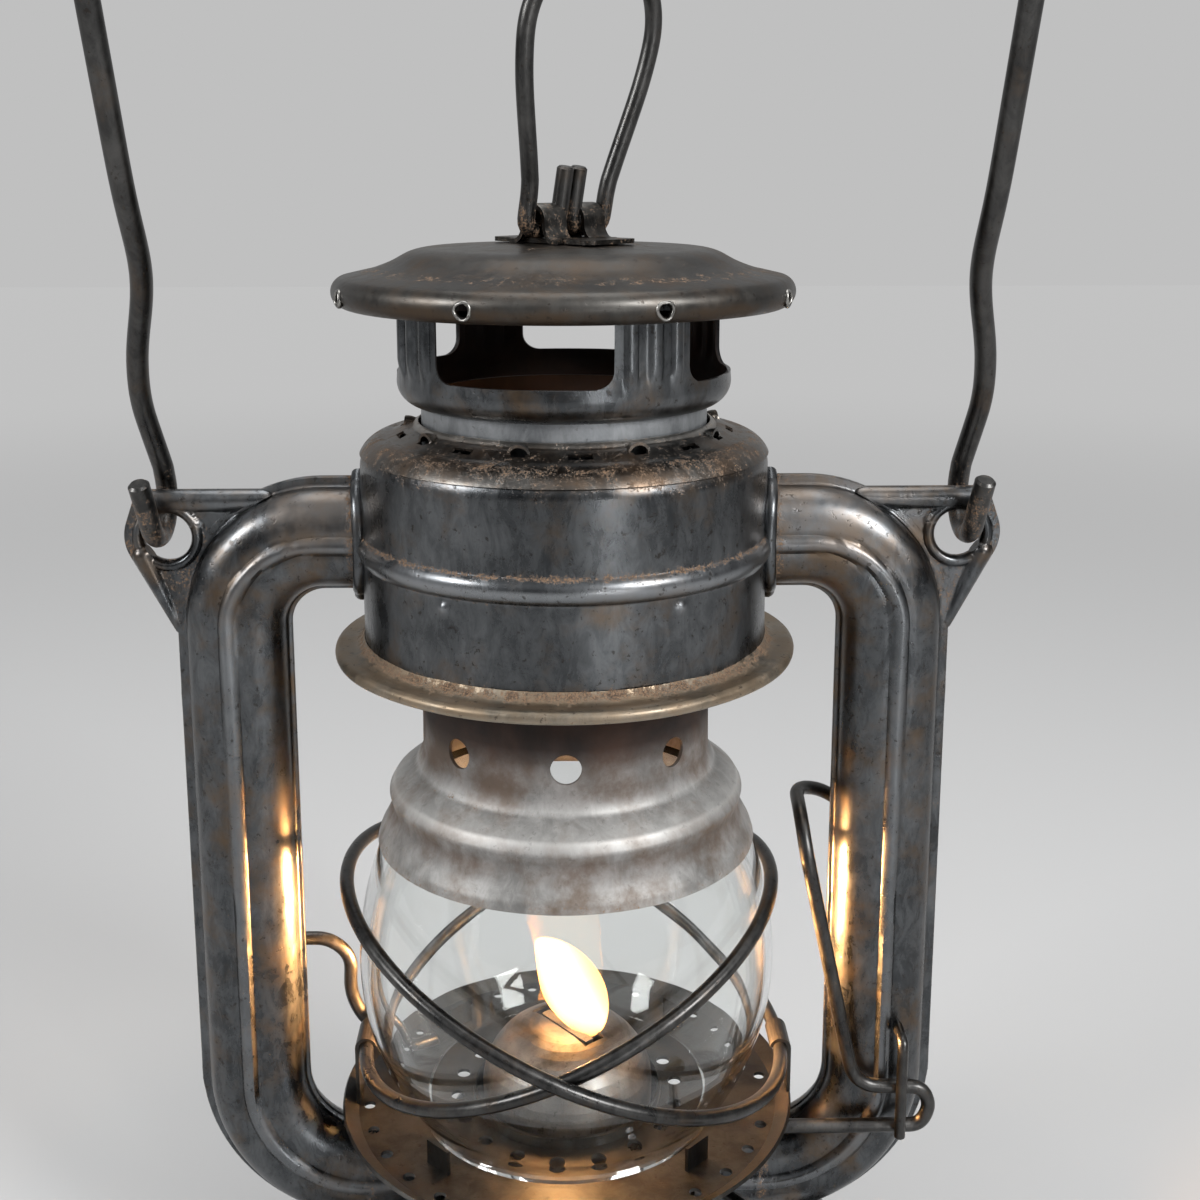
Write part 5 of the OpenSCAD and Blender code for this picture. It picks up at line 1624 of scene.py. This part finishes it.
@dataclass
class Wires:
    """The round wires: lift ring, bail, guards, lift handle, hook, finger and spring."""

    ring_wire: float = 3.2
    ring_foot: float = 10.0
    ring_wide: float = 18.0
    ring_height: float = 53.0
    ring_turn: float = 45.0
    ring_lean: float = 12.0
    pivot_z: float = 240.2
    bail_wire: float = 4.0
    bail_foot: float = 77.6
    bail_half: float = 73.4
    bail_height: float = 150.0
    bail_turn: float = 7.0
    bail_pivot: float = 188.9
    bail_lean: float = 24.0
    guard_wire: float = 2.8
    guard_z: float = 94.4
    guard_tilt: float = 24.6
    handle_wire: float = 2.8
    plate_z: float = 62.45
    sheet: float = 0.7

    @staticmethod
    def mirrored(half: Array) -> Array:
        """Half a path followed by its mirror image across x = 0, without the shared middle point."""
        other = half[:-1][::-1] * np.array([-1.0, 1.0, 1.0])
        return np.concatenate([half, other])

    @staticmethod
    def turned(path: Array, axis: str, degrees: float) -> Array:
        """Path turned about an axis through the origin."""
        return path @ np.array(Matrix.Rotation(math.radians(degrees), 3, axis)).T

    def ring(self) -> Array:
        """Path of the lift ring: an end, a spreading leg and half a round top, then its mirror image."""
        r, foot = self.ring_wire / 2, self.ring_foot
        wide, top = self.ring_wide - r, self.ring_height - r
        low = top - wide * 1.05
        end = softened(np.array([[r + 0.12, 0, 11.5], [r + 0.12, 0, 0], [foot, 0, 0], [foot, 0, 6]]), 2.4, 6)
        leg = softened(np.array([[foot + 0.2, 0, 9], [wide - 0.9, 0, low - 6], [wide, 0, low + 3]]), 6, 6)
        angle = np.radians(np.arange(20, 91, 5))
        crown = np.stack([wide * np.cos(angle), 0 * angle, low + (top - low) * np.sin(angle)], axis=1)
        path = eased(self.mirrored(np.concatenate([end, leg, crown])), 7, 24)
        path = self.turned(self.turned(path, "X", self.ring_lean), "Z", self.ring_turn)
        return path + np.array([0, 0, self.pivot_z])

    def bail(self) -> Array:
        """Path of the bail: hook, kinked leg, round corner and half of the grip, then its mirror image."""
        foot, leg, t, corner = self.bail_foot, self.bail_half, self.bail_turn, 36.0
        top = self.bail_height - self.bail_wire / 2
        turn = np.radians(np.arange(180, 361, 10))
        hook = np.stack([np.full(len(turn), foot), t * np.cos(turn), t * np.sin(turn)], axis=1)
        rise = softened(np.array([[foot, t, 3], [foot + 2.6, t, 23], [leg, t * 0.6, 46], [leg, 0, 60],
                                  [leg, 0, top - corner - 4]]), 12, 8)
        angle = np.radians(np.arange(0, 81, 5))
        bend = np.stack([leg - corner + corner * np.cos(angle), 0 * angle,
                         top - corner - 2 + corner * np.sin(angle)], axis=1)
        half = np.concatenate([[[foot + 0.7, -t, 16 - t]], hook, rise, bend, [[0, 0, top]]])
        path = self.turned(eased(self.mirrored(half), 12, 46), "X", self.bail_lean)
        return path + np.array([0, 0, self.bail_pivot])

    def handle(self) -> Array:
        """Path of the lift handle, from its hook behind the right tube to the globe plate."""
        inner, y, under, rise = 51.8, -10.2, self.plate_z - self.handle_wire / 2 - 0.02, 9.0
        corners = np.array([[inner + 8, -y, 120], [inner + 1, -y, 125], [inner - 5, -y * 0.6, 127],
                            [inner - 5.6, y * 0.5, 126], [inner - 5, y, 120], [inner + 3.6, y, 80],
                            [inner + 6, y, under + rise], [inner + 19.6, y, under + rise - 0.6],
                            [inner + 21.4, y, under + rise / 2], [inner + 19.6, y, under], [28, y, under]])
        return softened(corners, 5, 8)

    def hook(self) -> Array:
        """Path of the hook on the left that guides the carrier along the left tube."""
        inner, y = 51.8, 10.2
        seat = self.plate_z + self.sheet + self.handle_wire / 2 + 0.02
        corners = np.array([[-30, y + 6, seat], [-37, y + 1, seat], [-38.4, y, seat + 6.4], [-43, y, seat + 9.4],
                            [-45.8, y, seat + 15.4], [-45.4, y, seat + 24], [-inner + 2, y, seat + 28],
                            [-inner - 6, y, seat + 28]])
        return softened(corners, 4, 8)

    def finger(self) -> Array:
        """Path of the bent finger on the right tube that guides the lift handle."""
        x, y, low, rise, lift, d = 66.6, -10.2, self.plate_z - self.handle_wire / 2 - 0.02, 9.0, 8.0, 2.2
        front = y - self.handle_wire / 2 - d / 2 - 0.3
        high = low + rise + lift + self.handle_wire / 2 + d / 2 + 0.6
        return softened(np.array([[x, 1 - 7.5, high], [x, front, high], [x, front, low - 1]]), 2, 8)

    def spring(self) -> Array:
        """Path of the coiled spring: r (cos a, sin a), with z rising evenly over four turns."""
        t = np.linspace(0, 1, 240)
        angle = 2 * math.pi * 4 * t
        return np.stack([29.2 * np.cos(angle), 29.2 * np.sin(angle), 172.7 + 27.4 * t], axis=1)

    def guard(self, name: str, diameter: float, turn: float) -> bpy.types.Object:
        """Closed ring of wire, tilted about Y: the torus (R + r cos b)(cos a, sin a), r sin b.

        Args:
            name: Name of the piece.
            diameter: Diameter of the ring's centre line.
            turn: Tilt about Y in degrees.

        Returns:
            The new object.
        """
        a = np.linspace(0, 2 * math.pi, 220, endpoint=False)[:, None]
        b = np.linspace(0, 2 * math.pi, 20, endpoint=False)[None, :]
        r = self.guard_wire / 2
        wide = diameter / 2 + r * np.cos(b)
        grid = np.stack([wide * np.cos(a), wide * np.sin(a), r * np.sin(b) + 0 * a], axis=-1)
        grid = self.turned(grid.reshape(-1, 3), "Y", turn).reshape(grid.shape) + np.array([0, 0, self.guard_z])
        return grid_piece(name, grid, True, True)

    def build(self) -> None:
        """Makes every wire."""
        worn = lambda p: 0.12 + 0.1 * np.sin(0.21 * p[:, 2] + 0.13 * p[:, 0])
        ring = wire("ring_wire", self.ring(), self.ring_wire, 24)
        bail = wire("bail_wire", self.bail(), self.bail_wire, 24)
        paint(bail, "rust", lambda p: 0.42 * smoothstep(215, 180, p[:, 2]))
        paint(ring, "rust", lambda p: 0.45 * smoothstep(252, 240, p[:, 2]))
        install(ring, "ring", "wire", ["lift_ring"])
        install(bail, "bail", "wire", ["bail"])
        outer = self.guard("guard_wire_outer", 95.8, self.guard_tilt)
        inner = self.guard("guard_wire_inner", 90.0, -self.guard_tilt)
        install(outer, "globe_carrier", "wire", ["guard_outer"])
        install(inner, "globe_carrier", "wire", ["guard_inner"])
        for name, path, d, body, node in (
                ("handle_wire", self.handle(), self.handle_wire, "globe_carrier", "lift_handle"),
                ("hook_wire", self.hook(), self.handle_wire, "globe_carrier", "guide_hook"),
                ("finger_wire", self.finger(), 2.2, "frame", "guide_strap")):
            piece = wire(name, path, d, 20, 0.5)
            paint(piece, "rust", worn)
            install(piece, body, "wire", [node])


@dataclass
class Globe:
    """Pressed clear globe, thicker at its two ground ends."""

    diameter: float = 83.2
    belly_z: float = 96.0
    low_z: float = 63.2
    height: float = 66.0
    glass: float = 2.0
    upper_r: float = 62.7
    lower_r: float = 50.3

    def build(self) -> None:
        """Makes the globe from the two arcs of its belly, with rounded rims."""
        r = self.diameter / 2
        top = self.low_z + self.height
        outer = np.concatenate([
            [[r - 11, self.low_z + 0.35]],
            arc((r - self.lower_r, self.belly_z), self.lower_r, -34, 0, 24),
            arc((r - self.upper_r, self.belly_z), self.upper_r, 1.2, 27, 22),
            [[r - 8.6, top - 0.4]]])
        loop = offset_outline(outer, self.glass)
        piece = grid_piece("globe_body", revolved(loop, 256), True, True, 70)
        install(piece, "globe_carrier", "globe_glass", ["globe"])


@dataclass
class Flame:
    """Flame on the wick: a flat leaf that starts at the wick's right end and leans to the left."""

    turn: float = -25.0
    foot: tuple[float, float] = (5.4, 76.8)
    middle: tuple[float, float] = (1.6, 90.2)
    tip: tuple[float, float] = (-7.2, 95.6)
    half_width: float = 7.3
    half_depth: float = 2.7

    def build(self) -> None:
        """Makes the leaf: sections (w cos a, d sin a) sin(pi t^0.8)^0.7 across the curve from foot to tip."""
        t = np.linspace(0.0, 1.0, 56)[:, None]
        a = np.linspace(0, 2 * math.pi, 40, endpoint=False)[None, :]
        foot, middle, tip = np.array(self.foot), np.array(self.middle), np.array(self.tip)
        spine = (1 - t) ** 2 * foot + 2 * t * (1 - t) * middle + t ** 2 * tip
        along = 2 * (1 - t) * (middle - foot) + 2 * t * (tip - middle)
        along /= np.linalg.norm(along, axis=1)[:, None]
        size = np.sin(math.pi * np.clip(t, 0, 1) ** 0.8) ** 0.7
        wide = self.half_width * size * np.cos(a)
        x = spine[:, :1] + along[:, 1:] * wide
        z = spine[:, 1:] - along[:, :1] * wide
        y = self.half_depth * size * np.sin(a)
        turn = math.radians(self.turn)
        grid = np.stack([x * math.cos(turn) - y * math.sin(turn), x * math.sin(turn) + y * math.cos(turn), z], axis=-1)
        piece = grid_piece("flame", grid, False, True, 180)
        paint(piece, "core", lambda p: self.core(p, spine))
        piece.data.materials.append(FLAME.material())
        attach(piece, "wick")
        LOG.info("flame: %d faces", len(piece.data.polygons))

    def core(self, place: Array, spine: Array) -> Array:
        """Share of the way from the leaf's edge in to its middle curve.

        Args:
            place: Points in millimetres.
            spine: Points of the middle curve, as distance along the leaf's plane and height.

        Returns:
            1 on the middle curve and 0 at the edge, for each point.
        """
        turn = math.radians(self.turn)
        flat = np.stack([place[:, 0] * math.cos(turn) + place[:, 1] * math.sin(turn), place[:, 2]], axis=1)
        inner = spine[6:-8]
        gap = np.min(np.linalg.norm(flat[:, None, :] - inner[None, :, :], axis=2), axis=1)
        return np.clip(1 - gap / self.half_width, 0, 1)


def write_sizes() -> None:
    bpy.context.view_layer.update()


def main() -> None:
    """Builds the lantern's looks."""
    logging.basicConfig(level=logging.INFO, format="%(name)s: %(message)s")
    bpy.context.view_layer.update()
    Studio().build()
    dress_frame()
    AirTubes().build()
    AirDrum().build()
    DrumTop().build()
    Chimney().build()
    Wires().build()
    Globe().build()
    Flame().build()
    write_sizes()


if __name__ == "__main__":
    main()
